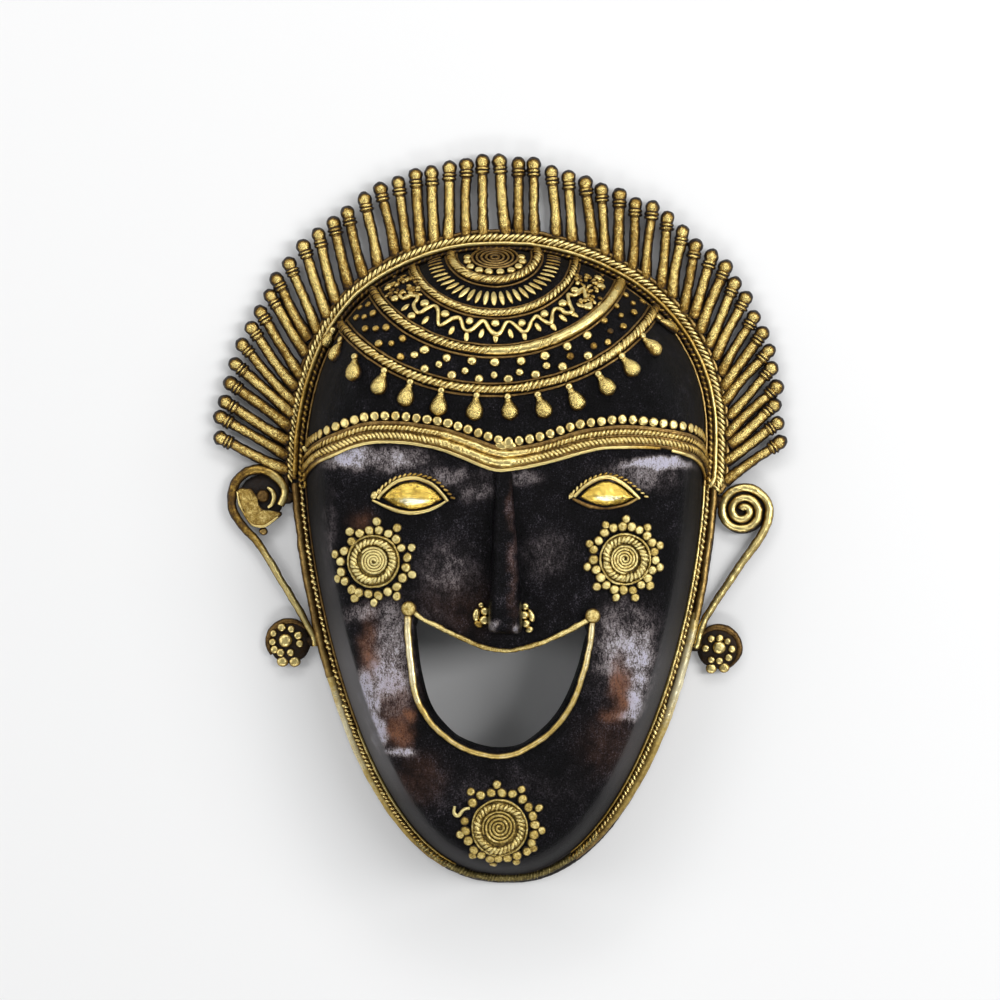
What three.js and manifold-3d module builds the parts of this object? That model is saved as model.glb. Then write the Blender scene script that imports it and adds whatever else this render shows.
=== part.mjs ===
// Brass wall mask, one hollow lost-wax casting, lying face up on the flat back of its rim.
// X runs to the viewer's right, Y towards the crown, Z out of the face, in millimetres.
// The origin is the middle of the outline, on the plane of the back.

import * as THREE from "three";
import { mergeVertices } from "three/addons/utils/BufferGeometryUtils.js";
import Module from "manifold-3d";

const wasm = await Module();
wasm.setup();

// Outline of the face at its foot, inside the rim: a high arch above the ears and a long jaw below
const FACE_X = 1.5;
const EAR_LEVEL = 14.2;
const FACE_LEFT = 69;
const FACE_RIGHT = 69.2;
const ARCH_RISE = 79.6;
const ARCH_POWER_LEFT = 2.63;
const ARCH_POWER_RIGHT = 2.33;
const JAW_DROP = 138.1;
const JAW_TAPER = 1.51;
const JAW_FULLNESS = 2.46;
const CHIN_DRIFT = 1.5;

// Relief of the face: a steep wall at the foot, a broad flat front and a sloping crown
const FOOT_HEIGHT = 4;
const RELIEF = 37;
const EDGE_ROUNDNESS = 0.55;
const SIDE_STEEPNESS = 11;
const CROWN_STEEPNESS = 2.2;
const CHIN_STEEPNESS = 9;
const CROWN_SPREAD = 1.5;
const SIDE_DOME = 0.24;
const CHIN_DOME = 0.14;
const WALL = 3.2;
const SHELL_SIDES = 48;
const FRONT_STEPS = [0.38, 0.66, 0.83, 0.93, 0.98];
const BACK_STEPS = [0.98, 0.92, 0.78, 0.5];

// Fineness of the search for a place on the face, and of the slopes read off it
const PLACE_MAX = 4;
const PLACE_TOLERANCE = 1e-7;
const SLOPE_STEP = 0.4;
const TURN_STEP = 0.01;
const MERGE_DISTANCE = 1e-4;

// Rim: a flat-backed band round the foot, broad on the arch and narrowing down the jaw.
// Its section is given as shares of its width and of its height.
const RIM_HEIGHT = 4.8;
const RIM_ARCH_WIDTH = 7.6;
const RIM_EAR_WIDTH = 5.6;
const RIM_CHIN_WIDTH = 3.8;
const RIM_SECTION = [
  [0.14, 1],
  [0.46, 0.8],
  [0.74, 1.04],
  [1, 1.04],
  [1, 0],
];

// Crest of rods with a collar and a ball, fanned round a circle
const ROD_COUNT = 48;
const CREST_X = 0.2;
const CREST_Y = 26.8;
const CREST_RADIUS = 98;
const CREST_START = 179.2;
const CREST_END = 0.1;
const CREST_LEAN_LEFT = 62;
const CREST_LEAN_RIGHT = 55;
const CREST_HEIGHT = 3.2;
const ROD_RADIUS = 1.75;
const ROD_SIDES = 5;
const COLLAR_RADIUS = 2.45;
const COLLAR_NEAR = 2.8;
const COLLAR_FAR = 4.4;
const HEAD_RADIUS = 2.75;
const HEAD_SHOULDER = 0.6;
const ROD_REACH = 1.07;

// Crown: a boss, four ropes and the drops that hang from the last one, all round one centre
const CROWN_X = -1.9;
const CROWN_Y = 90.9;
const CROWN_BOSS = [9.5, 5.5];
const CROWN_BOSS_GAP = 1.5;
const CROWN_BOSS_LEVELS = [
  [1, -1.2],
  [1, 0.9],
  [0.6, 1.2],
];
const CROWN_ROPES = [
  [14.9, 9.9],
  [28.4, 21.3],
  [44.9, 33.9],
  [60.3, 47.3],
];
const CROWN_ROPE_WIDTH = 2.8;
const CROWN_ROPE_RISE = 1.3;
const CROWN_ROPE_STEPS = 13;
const CROWN_ROPE_SEARCH = 720;
const CROWN_ROPE_FROM = 225;
const CROWN_ROPE_TO = -45;
const FACE_LIMIT = 0.985;
const DROP_COUNT = 14;
const DROP_REACH = [68.5, 55.3];
const DROP_START = 151;
const DROP_END = 28.5;
const DROP_SIZE = [2.8, 4.2, 2.2];

// Brow band
const BROW_X = 1.9;
const BROW_LOW = 20;
const BROW_HALF_SPAN = 40.5;
const BROW_RISE_LEFT = 9.3;
const BROW_RISE_RIGHT = 7.9;
const BROW_WIDTH = 8.4;
const BROW_THICKNESS = 1.9;
const BROW_END_GAP = 1.5;
const BROW_STEPS = 20;

// Eyes: almond plates
const EYES = [
  { x: -29.2, y: 7.5, halfWidth: 14, halfHeight: 6.4 },
  { x: 36.3, y: 8.5, halfWidth: 13, halfHeight: 5.6 },
];
const EYE_LEVELS = [
  [1, -1.5],
  [1, 0.8],
  [0.84, 1.2],
  [0.72, 0.6],
];

// Nose: a long wedge with a flat front
const NOSE_TOP_X = 1.4;
const NOSE_TOP_Y = 17;
const NOSE_TIP_X = 1.8;
const NOSE_TIP_Y = -38.8;
const NOSE_TOP_WIDTH = 5;
const NOSE_TIP_WIDTH = 11;
const NOSE_TOP_RISE = 0.6;
const NOSE_TIP_RISE = 10.5;
const NOSE_STEPS = 6;
const NOSE_FOOT_FLARE = 3;
const NOSE_ROOT = 3;
const NOSE_BEVEL_RISE = 0.85;
const NOSE_BEVEL_WIDTH = 0.7;

// Rosettes on both cheeks and the chin
const ROSETTES = [
  { x: -42.6, y: -14.2, radius: 12.2 },
  { x: 42.1, y: -13.5, radius: 12.2 },
  { x: -0.2, y: -104.3, radius: 13 },
];
const ROSETTE_TIPS = 10;
const ROSETTE_STAR = 0.1;
const ROSETTE_STAR_REACH = 6;
const ROSETTE_LEVELS = [
  [1, -1.2],
  [1, 1],
  [0.72, 1],
  [0.5, 1.8],
];

// Mouth: an opening edged with wires between two balls
const MOUTH_X = 0.6;
const MOUTH_CORNER_Y = -33;
const LIP_LEFT = 31.1;
const LIP_RIGHT = 31.4;
const LIP_DROP = 47;
const LIP_POWER_LEFT = 2.5;
const LIP_POWER_RIGHT = 2.05;
const LIP_SAG_X = 1.2;
const LIP_SAG_Y = -45;
const LIP_SAG_RISE = 11.5;
const LIP_SAG_SPAN = 29.7;
const LIP_WIDTH = 2.2;
const LIP_RISE = 1.2;
const MOUTH_INSET = 3.2;
const MOUTH_CUT_LOW = 14;
const MOUTH_CUT_HIGH = 71;
const MOUTH_BALL = [2.6, 2.6, 2.35];
const MOUTH_STEPS = 16;

// Ears: a wire scroll above and a granulated cup below, joined by a rod
const EAR_HEIGHT = 3;
const EAR_WIRE = 1.35;
const RIGHT_EAR_STEPS = 30;
const LEFT_EAR_STEPS = 17;
const RIGHT_SCROLL = { x: 84.8, y: 2.8, start: 9.6, end: 1.2, turns: 2, steps: 24 };
const RIGHT_KNOB = [1.9, 1.9, 1.7];
const RIGHT_ROD = [
  [69.1, -43.1],
  [71.2, -35.8],
  [77, -26.3],
  [84.3, -15.5],
  [90.6, -7.1],
];
const RIGHT_CUP = { x: 76.2, y: -45.3 };
const LEFT_LOOP = { x: -84.6, y: 7.8, radius: 9.2, from: 190, to: -40, steps: 10 };
const LEFT_ROD = [
  [-64.9, -42],
  [-66.8, -37.8],
  [-71.4, -29.8],
  [-78.4, -18],
  [-84.3, -8.9],
  [-90.9, -1.2],
];
const LEFT_CUP = { x: -73.4, y: -42.9 };
const LEFT_KNOB = { x: -82.7, y: 5.8, radii: [3.2, 3.2, 1.8] };
const LEFT_PLATE_BACK = 1.4;
const LEFT_PLATE_THICKNESS = 2.4;
const LEFT_PLATE = [
  [-91.6, 10.6],
  [-87, 10.2],
  [-83.6, 3.4],
  [-77, 2.4],
  [-79.4, -1.4],
  [-83.6, -3.4],
  [-88.4, 0.6],
];
const CUP_PROFILE = [
  [0, -2],
  [7.4, -2],
  [8.5, 0.3],
  [5.9, 0.9],
  [2.3, 1],
  [0, 3],
];
const CUP_GRANULES = [
  [-2.2, -7.4, 0.6],
  [2.2, -7.4, 0.6],
];
const CUP_GRANULE_RADII = [1.8, 1.8, 1.8];
const EAR_LUGS = [
  { x: 75.8, y: 6, radii: [3, 3, 2.4] },
  { x: 68.4, y: -45, radii: [2.6, 2.6, 2.4] },
  { x: -74, y: 7.5, radii: [3, 3, 2.4] },
  { x: -65.4, y: -42.5, radii: [2.6, 2.6, 2.4] },
];

// Depth to which every ribbon is sunk in the face, so that it has no gap beneath it
const RIBBON_SINK = 0.8;

// Number of facets round wires, balls, the boss of the crown, the eyes and the cups
const WIRE_SIDES = 5;
const BALL_SIDES = 6;
const BALL_LEVELS = 3;
const CUP_SIDES = 10;
const BOSS_POINTS = 14;
const EYE_POINTS = 14;

// Foot of the face in the direction of an angle measured at ear level
function footPoint(angle) {
  const across = Math.cos(angle);
  const along = Math.sin(angle);
  const half = across < 0 ? FACE_LEFT : FACE_RIGHT;
  if (along >= 0) {
    const power = across < 0 ? ARCH_POWER_LEFT : ARCH_POWER_RIGHT;
    const x = FACE_X + Math.sign(across) * half * Math.pow(Math.abs(across), 2 / power);
    return new THREE.Vector2(x, EAR_LEVEL + ARCH_RISE * Math.pow(along, 2 / power));
  }
  const drop = Math.pow(-along, 2 / JAW_TAPER);
  const width = Math.sign(across) * half * Math.pow(Math.abs(across), 2 / JAW_FULLNESS);
  return new THREE.Vector2(FACE_X + CHIN_DRIFT * drop + width, EAR_LEVEL - JAW_DROP * drop);
}

// Place of a point on the face: how far out to the foot it lies, and how far up or down that is
function facePlace(x, y) {
  const across = x - FACE_X;
  const along = y - EAR_LEVEL;
  const half = across < 0 ? FACE_LEFT : FACE_RIGHT;
  if (along >= 0) {
    const power = across < 0 ? ARCH_POWER_LEFT : ARCH_POWER_RIGHT;
    const sum = Math.pow(Math.abs(across) / half, power) + Math.pow(along / ARCH_RISE, power);
    const out = Math.max(Math.pow(sum, 1 / power), PLACE_TOLERANCE);
    return { out, height: along / ARCH_RISE / out };
  }
  let low = 0;
  let high = PLACE_MAX;
  while (high - low > PLACE_TOLERANCE) {
    const middle = (low + high) / 2;
    const drop = -along / middle / JAW_DROP;
    const width = Math.abs(across / middle - CHIN_DRIFT * drop) / half;
    const inside = Math.pow(width, JAW_FULLNESS) + Math.pow(drop, JAW_TAPER) < 1;
    if (inside) {
      high = middle;
    } else {
      low = middle;
    }
  }
  return { out: high, height: along / high / JAW_DROP };
}

// Height of the face's surface for such a place
function relief(place) {
  const out = Math.min(place.out, 1);
  const up = Math.min(Math.max(place.height, 0), 1);
  const down = Math.min(Math.max(-place.height, 0), 1);
  const towardsCrown = (CROWN_STEEPNESS - SIDE_STEEPNESS) * Math.pow(up, CROWN_SPREAD);
  const steepness = SIDE_STEEPNESS + towardsCrown + (CHIN_STEEPNESS - SIDE_STEEPNESS) * down;
  const dome = SIDE_DOME * (1 - up) + (CHIN_DOME - SIDE_DOME) * down;
  const wall = Math.pow(1 - Math.pow(out, steepness), EDGE_ROUNDNESS);
  return FOOT_HEIGHT + RELIEF * (1 - dome * out * out) * wall;
}

function faceHeight(x, y) {
  return relief(facePlace(x, y));
}

function onFace(x, y, rise = 0) {
  return new THREE.Vector3(x, y, faceHeight(x, y) + rise);
}

function faceNormal(x, y) {
  const step = SLOPE_STEP;
  const slopeX = (faceHeight(x + step, y) - faceHeight(x - step, y)) / (2 * step);
  const slopeY = (faceHeight(x, y + step) - faceHeight(x, y - step)) / (2 * step);
  return new THREE.Vector3(-slopeX, -slopeY, 1).normalize();
}

// Closed body through rows of points; the rows either close on themselves or end in caps
function loft(rows, looped = false) {
  const count = rows[0].length;
  const points = rows.flat();
  const faces = [];
  const bands = looped ? rows.length : rows.length - 1;
  for (let row = 0; row < bands; row += 1) {
    const here = row * count;
    const next = ((row + 1) % rows.length) * count;
    for (let side = 0; side < count; side += 1) {
      const turn = (side + 1) % count;
      faces.push([here + side, here + turn, next + turn], [here + side, next + turn, next + side]);
    }
  }
  if (!looped) {
    for (const [row, flip] of [[0, true], [rows.length - 1, false]]) {
      const middle = points.length;
      const centre = new THREE.Vector3();
      rows[row].forEach((point) => centre.add(point));
      points.push(centre.divideScalar(count));
      for (let side = 0; side < count; side += 1) {
        const first = row * count + side;
        const second = row * count + ((side + 1) % count);
        faces.push(flip ? [middle, second, first] : [middle, first, second]);
      }
    }
  }
  const geometry = new THREE.BufferGeometry().setFromPoints(points);
  geometry.setIndex(faces.flat());
  return geometry;
}

// Ribbon of constant section that follows a path over the face
function ribbon(path, section) {
  const rows = path.map((point, index) => {
    const before = path[Math.max(index - 1, 0)];
    const after = path[Math.min(index + 1, path.length - 1)];
    const along = after.clone().sub(before).normalize();
    const normal = faceNormal(point.x, point.y);
    const across = along.clone().cross(normal).normalize();
    const up = across.clone().cross(along).normalize();
    return section.map(([side, rise]) =>
      point.clone().addScaledVector(across, side).addScaledVector(up, rise));
  });
  return loft(rows);
}

// Plate that lies on the face: its outline is drawn in at each level, given as share and rise
function plate(middle, outline, levels, points) {
  return loft(levels.map(([share, rise]) => {
    const row = [];
    for (let point = 0; point < points; point += 1) {
      const [across, along] = outline((2 * Math.PI * point) / points, share);
      row.push(onFace(middle.x + share * across, middle.y + share * along, rise));
    }
    return row;
  }));
}

function raisedSection(width, rise) {
  return [
    [-width / 2, -RIBBON_SINK],
    [0, rise],
    [width / 2, -RIBBON_SINK],
  ];
}

// Round wire along a list of points
function wire(points, radius, steps) {
  const section = new THREE.Shape();
  for (let side = 0; side < WIRE_SIDES; side += 1) {
    const angle = (2 * Math.PI * side) / WIRE_SIDES;
    const place = [radius * Math.cos(angle), radius * Math.sin(angle)];
    if (side === 0) {
      section.moveTo(...place);
    } else {
      section.lineTo(...place);
    }
  }
  const extrudePath = new THREE.CatmullRomCurve3(points, false, "centripetal");
  return new THREE.ExtrudeGeometry(section, { steps, extrudePath, bevelEnabled: false });
}

function ball(x, y, z, radii, turn = 0) {
  const geometry = new THREE.SphereGeometry(1, BALL_SIDES, BALL_LEVELS);
  geometry.rotateX(Math.PI / 2);
  geometry.scale(...radii);
  geometry.rotateZ(turn);
  geometry.translate(x, y, z);
  return geometry;
}

// Signed volume of a triangle list, to turn a body the right way out
function signedVolume(positions, index) {
  const corners = [new THREE.Vector3(), new THREE.Vector3(), new THREE.Vector3()];
  let volume = 0;
  for (let face = 0; face < index.length; face += 3) {
    corners.forEach((corner, place) => corner.fromArray(positions, 3 * index[face + place]));
    volume += corners[0].dot(corners[1].cross(corners[2])) / 6;
  }
  return volume;
}

function solid(geometry) {
  const bare = geometry.clone();
  bare.deleteAttribute("normal");
  bare.deleteAttribute("uv");
  const merged = mergeVertices(bare, MERGE_DISTANCE);
  const positions = merged.attributes.position.array;
  const kept = [];
  for (let face = 0; face < merged.index.count; face += 3) {
    const [a, b, c] = merged.index.array.slice(face, face + 3);
    if (a !== b && b !== c && c !== a) {
      kept.push(a, b, c);
    }
  }
  if (signedVolume(positions, kept) < 0) {
    kept.reverse();
  }
  return new wasm.Manifold(new wasm.Mesh({
    numProp: 3,
    vertProperties: new Float32Array(positions),
    triVerts: new Uint32Array(kept),
  }));
}

function joined(geometries) {
  return geometries.map(solid).reduce((body, next) => body.add(next));
}

// Outward direction of the foot, square to its outline
function footOutward(angle) {
  const along = footPoint(angle + TURN_STEP).sub(footPoint(angle - TURN_STEP)).normalize();
  return new THREE.Vector2(along.y, -along.x);
}

function rimWidth(foot) {
  const down = (EAR_LEVEL - foot.y) / JAW_DROP;
  return down < 0 ? RIM_ARCH_WIDTH : RIM_EAR_WIDTH + (RIM_CHIN_WIDTH - RIM_EAR_WIDTH) * down;
}

// Hollow shell: the front from its middle outwards, the rim, the flat back, then the inside
function shellBody() {
  const angles = [];
  for (let side = 0; side < SHELL_SIDES; side += 1) {
    angles.push((2 * Math.PI * (side + 0.5)) / SHELL_SIDES);
  }
  const surfaceRow = (out, inset) => angles.map((angle) => {
    const arm = footPoint(angle).sub(new THREE.Vector2(FACE_X, EAR_LEVEL));
    arm.multiplyScalar((out * (arm.length() - inset)) / arm.length());
    const x = FACE_X + arm.x;
    const y = EAR_LEVEL + arm.y;
    const place = facePlace(x, y);
    place.out = out;
    return new THREE.Vector3(x, y, relief(place) - inset);
  });
  const rimRow = (share, height) => angles.map((angle) => {
    const foot = footPoint(angle);
    const edge = footOutward(angle).multiplyScalar(share * rimWidth(foot)).add(foot);
    return new THREE.Vector3(edge.x, edge.y, height);
  });
  const rows = FRONT_STEPS.map((out) => surfaceRow(out, 0));
  rows.push(rimRow(0, FOOT_HEIGHT));
  rows.push(...RIM_SECTION.map(([share, height]) => rimRow(share, height * RIM_HEIGHT)));
  rows.push(surfaceRow(1, WALL).map((point) => point.setZ(0)));
  rows.push(...BACK_STEPS.map((out) => surfaceRow(out, WALL)));
  return loft(rows);
}

// One rod: it starts inside the rim, runs out to its collar and ends in a ball
function crestRod(number) {
  const turn = CREST_START + ((CREST_END - CREST_START) * number) / (ROD_COUNT - 1);
  const angle = THREE.MathUtils.degToRad(turn);
  const side = (turn - 90) / 90;
  const lean = side > 0 ? CREST_LEAN_LEFT : CREST_LEAN_RIGHT;
  const heading = THREE.MathUtils.degToRad(90 + lean * side * Math.abs(side));
  const head = new THREE.Vector2(
    CREST_X + CREST_RADIUS * Math.cos(angle),
    CREST_Y + CREST_RADIUS * Math.sin(angle),
  );
  const direction = new THREE.Vector2(Math.cos(heading), Math.sin(heading));
  const foot = head.clone();
  let length = 0;
  while (facePlace(foot.x, Math.max(foot.y, EAR_LEVEL)).out > ROD_REACH) {
    foot.sub(direction);
    length += 1;
  }
  const profile = [
    [0, -length],
    [ROD_RADIUS, -length],
    [ROD_RADIUS, -COLLAR_FAR],
    [COLLAR_RADIUS, -COLLAR_NEAR],
    [HEAD_RADIUS, HEAD_SHOULDER],
    [0, HEAD_RADIUS],
  ];
  const rod = new THREE.LatheGeometry(profile.map((point) => new THREE.Vector2(...point)), ROD_SIDES);
  rod.rotateZ(heading - Math.PI / 2);
  rod.translate(head.x, head.y, CREST_HEIGHT);
  return rod;
}

function crownPoint(reach, angle) {
  return [CROWN_X + reach[0] * Math.cos(angle), CROWN_Y - reach[1] * Math.sin(angle)];
}

// One rope ring of the crown: the part of its ellipse that lies on the face
function crownRope(reach) {
  const angles = [];
  for (let step = 0; step <= CROWN_ROPE_SEARCH; step += 1) {
    const share = step / CROWN_ROPE_SEARCH;
    const turn = CROWN_ROPE_FROM + (CROWN_ROPE_TO - CROWN_ROPE_FROM) * share;
    const angle = THREE.MathUtils.degToRad(turn);
    if (facePlace(...crownPoint(reach, angle)).out < FACE_LIMIT) {
      angles.push(angle);
    }
  }
  const first = angles[0];
  const last = angles[angles.length - 1];
  const path = [];
  for (let step = 0; step <= CROWN_ROPE_STEPS; step += 1) {
    const angle = first + ((last - first) * step) / CROWN_ROPE_STEPS;
    path.push(onFace(...crownPoint(reach, angle)));
  }
  return ribbon(path, raisedSection(CROWN_ROPE_WIDTH, CROWN_ROPE_RISE));
}

function crownBoss() {
  const top = EAR_LEVEL + ARCH_RISE - CROWN_Y - CROWN_BOSS_GAP;
  const outline = (angle) => [
    CROWN_BOSS[0] * Math.cos(angle),
    Math.min(CROWN_BOSS[1] * Math.sin(angle), top),
  ];
  return plate({ x: CROWN_X, y: CROWN_Y }, outline, CROWN_BOSS_LEVELS, BOSS_POINTS);
}

function crownDrop(number) {
  const turn = DROP_START + ((DROP_END - DROP_START) * number) / (DROP_COUNT - 1);
  const angle = THREE.MathUtils.degToRad(turn);
  const [x, y] = crownPoint(DROP_REACH, angle);
  const heading = Math.atan2(y - CROWN_Y, x - CROWN_X) + Math.PI / 2;
  return ball(x, y, faceHeight(x, y), DROP_SIZE, heading);
}

function browHeight(x) {
  const reach = (x - BROW_X) / BROW_HALF_SPAN;
  const rise = reach < 0 ? BROW_RISE_LEFT : BROW_RISE_RIGHT;
  return BROW_LOW + (rise * (1 - Math.cos(Math.PI * reach))) / 2;
}

function browBand() {
  const path = [];
  const left = FACE_X - FACE_LEFT + BROW_END_GAP;
  const right = FACE_X + FACE_RIGHT - BROW_END_GAP;
  for (let step = 0; step <= BROW_STEPS; step += 1) {
    const share = Math.cos((Math.PI * step) / BROW_STEPS);
    const x = (left + right) / 2 - (share * (right - left)) / 2;
    path.push(onFace(x, browHeight(x)));
  }
  return ribbon(path, raisedSection(BROW_WIDTH, BROW_THICKNESS));
}

function eyePlate(eye) {
  const outline = (angle) => [
    eye.halfWidth * Math.cos(angle),
    eye.halfHeight * Math.sin(angle) * Math.abs(Math.sin(angle)),
  ];
  return plate(eye, outline, EYE_LEVELS, EYE_POINTS);
}

function noseWedge() {
  const rows = [];
  for (let step = 0; step <= NOSE_STEPS; step += 1) {
    const share = step / NOSE_STEPS;
    const x = NOSE_TOP_X + (NOSE_TIP_X - NOSE_TOP_X) * share;
    const y = NOSE_TOP_Y + (NOSE_TIP_Y - NOSE_TOP_Y) * share;
    const front = (NOSE_TOP_WIDTH + (NOSE_TIP_WIDTH - NOSE_TOP_WIDTH) * Math.sqrt(share)) / 2;
    const back = front + NOSE_FOOT_FLARE * share;
    const rise = NOSE_TOP_RISE + (NOSE_TIP_RISE - NOSE_TOP_RISE) * share;
    const base = faceHeight(x, y);
    rows.push([
      [-back, -NOSE_ROOT],
      [back, -NOSE_ROOT],
      [back, 0],
      [front, rise * NOSE_BEVEL_RISE],
      [front * NOSE_BEVEL_WIDTH, rise],
      [-front * NOSE_BEVEL_WIDTH, rise],
      [-front, rise * NOSE_BEVEL_RISE],
      [-back, 0],
    ].map(([side, lift]) => new THREE.Vector3(x + side, y, base + lift)));
  }
  return loft(rows);
}

// Rosette: a disc with a raised rope ring, its edge drawn out into points
function rosette(place) {
  const outline = (angle, share) => {
    const star = ROSETTE_STAR * Math.pow(share, ROSETTE_STAR_REACH) * Math.cos(ROSETTE_TIPS * angle);
    const reach = place.radius * (1 + star);
    return [reach * Math.cos(angle), reach * Math.sin(angle)];
  };
  return plate(place, outline, ROSETTE_LEVELS, 2 * ROSETTE_TIPS);
}

function upperLip(x) {
  const share = (x - LIP_SAG_X) / LIP_SAG_SPAN;
  return LIP_SAG_Y + LIP_SAG_RISE * share * share;
}

// Lower lip from corner to corner; the inset gives the opening's edge inside the wire
function lowerLip(angle, inset) {
  const across = -Math.cos(angle);
  const along = Math.sin(angle);
  const half = (across < 0 ? LIP_LEFT : LIP_RIGHT) - inset;
  const power = across < 0 ? LIP_POWER_LEFT : LIP_POWER_RIGHT;
  return [
    MOUTH_X + Math.sign(across) * half * Math.pow(Math.abs(across), 2 / power),
    MOUTH_CORNER_Y - (LIP_DROP - inset) * Math.pow(along, 2 / power),
  ];
}

function lipWires() {
  const lower = [];
  const upper = [];
  for (let step = 0; step <= MOUTH_STEPS; step += 1) {
    const share = step / MOUTH_STEPS;
    lower.push(onFace(...lowerLip(Math.PI * share, 0)));
    const x = MOUTH_X - LIP_LEFT + (LIP_LEFT + LIP_RIGHT) * share;
    upper.push(onFace(x, upperLip(x) + LIP_WIDTH / 4));
  }
  const corners = [MOUTH_X - LIP_LEFT, MOUTH_X + LIP_RIGHT].map((x) => {
    const y = upperLip(x);
    return ball(x, y, faceHeight(x, y), MOUTH_BALL);
  });
  const section = raisedSection(LIP_WIDTH, LIP_RISE);
  return [ribbon(lower, section), ribbon(upper, section), ...corners];
}

function mouthOpening() {
  const outline = new THREE.Shape();
  const left = MOUTH_X - LIP_LEFT + MOUTH_INSET;
  const right = MOUTH_X + LIP_RIGHT - MOUTH_INSET;
  outline.moveTo(left, upperLip(left));
  for (let step = 1; step < MOUTH_STEPS; step += 1) {
    const x = left + ((right - left) * step) / MOUTH_STEPS;
    outline.lineTo(x, upperLip(x));
  }
  outline.lineTo(right, upperLip(right));
  for (let step = MOUTH_STEPS - 1; step > 0; step -= 1) {
    outline.lineTo(...lowerLip((Math.PI * step) / MOUTH_STEPS, MOUTH_INSET));
  }
  const depth = MOUTH_CUT_HIGH - MOUTH_CUT_LOW;
  const cutter = new THREE.ExtrudeGeometry(outline, { depth, bevelEnabled: false });
  cutter.translate(0, 0, MOUTH_CUT_LOW);
  return cutter;
}

function flat(points) {
  return points.map(([x, y]) => new THREE.Vector3(x, y, EAR_HEIGHT));
}

// Granulated cup at the foot of each ear rod
function earCup(cup) {
  const profile = CUP_PROFILE.map((point) => new THREE.Vector2(...point));
  const disc = new THREE.LatheGeometry(profile, CUP_SIDES);
  disc.rotateX(Math.PI / 2);
  disc.translate(cup.x, cup.y, EAR_HEIGHT);
  const granules = CUP_GRANULES.map(([across, along, up]) =>
    ball(cup.x + across, cup.y + along, EAR_HEIGHT + up, CUP_GRANULE_RADII));
  return [disc, ...granules];
}

function rightEar() {
  const scroll = [];
  for (let step = 0; step <= RIGHT_SCROLL.steps; step += 1) {
    const share = step / RIGHT_SCROLL.steps;
    const angle = 2 * Math.PI * RIGHT_SCROLL.turns * share;
    const reach = RIGHT_SCROLL.start + (RIGHT_SCROLL.end - RIGHT_SCROLL.start) * share;
    scroll.push([RIGHT_SCROLL.x + reach * Math.cos(angle), RIGHT_SCROLL.y + reach * Math.sin(angle)]);
  }
  const path = flat([...RIGHT_ROD, ...scroll]);
  const knob = ball(RIGHT_SCROLL.x, RIGHT_SCROLL.y, EAR_HEIGHT, RIGHT_KNOB);
  return [wire(path, EAR_WIRE, RIGHT_EAR_STEPS), knob, ...earCup(RIGHT_CUP)];
}

// The left scroll was miscast: one open loop round a ragged plate
function leftEar() {
  const loop = [];
  for (let step = 0; step <= LEFT_LOOP.steps; step += 1) {
    const turn = LEFT_LOOP.from + ((LEFT_LOOP.to - LEFT_LOOP.from) * step) / LEFT_LOOP.steps;
    const angle = THREE.MathUtils.degToRad(turn);
    loop.push([
      LEFT_LOOP.x + LEFT_LOOP.radius * Math.cos(angle),
      LEFT_LOOP.y + LEFT_LOOP.radius * Math.sin(angle),
    ]);
  }
  const outline = new THREE.Shape(LEFT_PLATE.map((point) => new THREE.Vector2(...point)));
  const depth = LEFT_PLATE_THICKNESS;
  const ragged = new THREE.ExtrudeGeometry(outline, { depth, bevelEnabled: false });
  ragged.translate(0, 0, LEFT_PLATE_BACK);
  const knob = ball(LEFT_KNOB.x, LEFT_KNOB.y, EAR_HEIGHT, LEFT_KNOB.radii);
  const rod = wire(flat([...LEFT_ROD, ...loop]), EAR_WIRE, LEFT_EAR_STEPS);
  return [rod, ragged, knob, ...earCup(LEFT_CUP)];
}

const raised = [
  crownBoss(),
  ...CROWN_ROPES.map(crownRope),
  browBand(),
  ...EYES.map(eyePlate),
  noseWedge(),
  ...ROSETTES.map(rosette),
  ...rightEar(),
  ...leftEar(),
  ...EAR_LUGS.map((lug) => ball(lug.x, lug.y, EAR_HEIGHT, lug.radii)),
];
for (let number = 0; number < ROD_COUNT; number += 1) {
  raised.push(crestRod(number));
}
for (let number = 0; number < DROP_COUNT; number += 1) {
  raised.push(crownDrop(number));
}

const casting = solid(shellBody())
  .subtract(solid(mouthOpening()))
  .add(joined(raised))
  .add(joined(lipWires()));

const mesh = casting.getMesh();
const geometry = new THREE.BufferGeometry();
geometry.setAttribute("position", new THREE.BufferAttribute(mesh.vertProperties, 3));
geometry.setIndex(new THREE.BufferAttribute(mesh.triVerts, 1));
geometry.computeVertexNormals();

const brass = new THREE.MeshStandardMaterial({ color: 0x8a6a2c, roughness: 0.42, metalness: 1 });
const mask = new THREE.Mesh(geometry, brass);
mask.name = "mask";
const root = new THREE.Group();
root.add(mask);

export default root;
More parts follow.
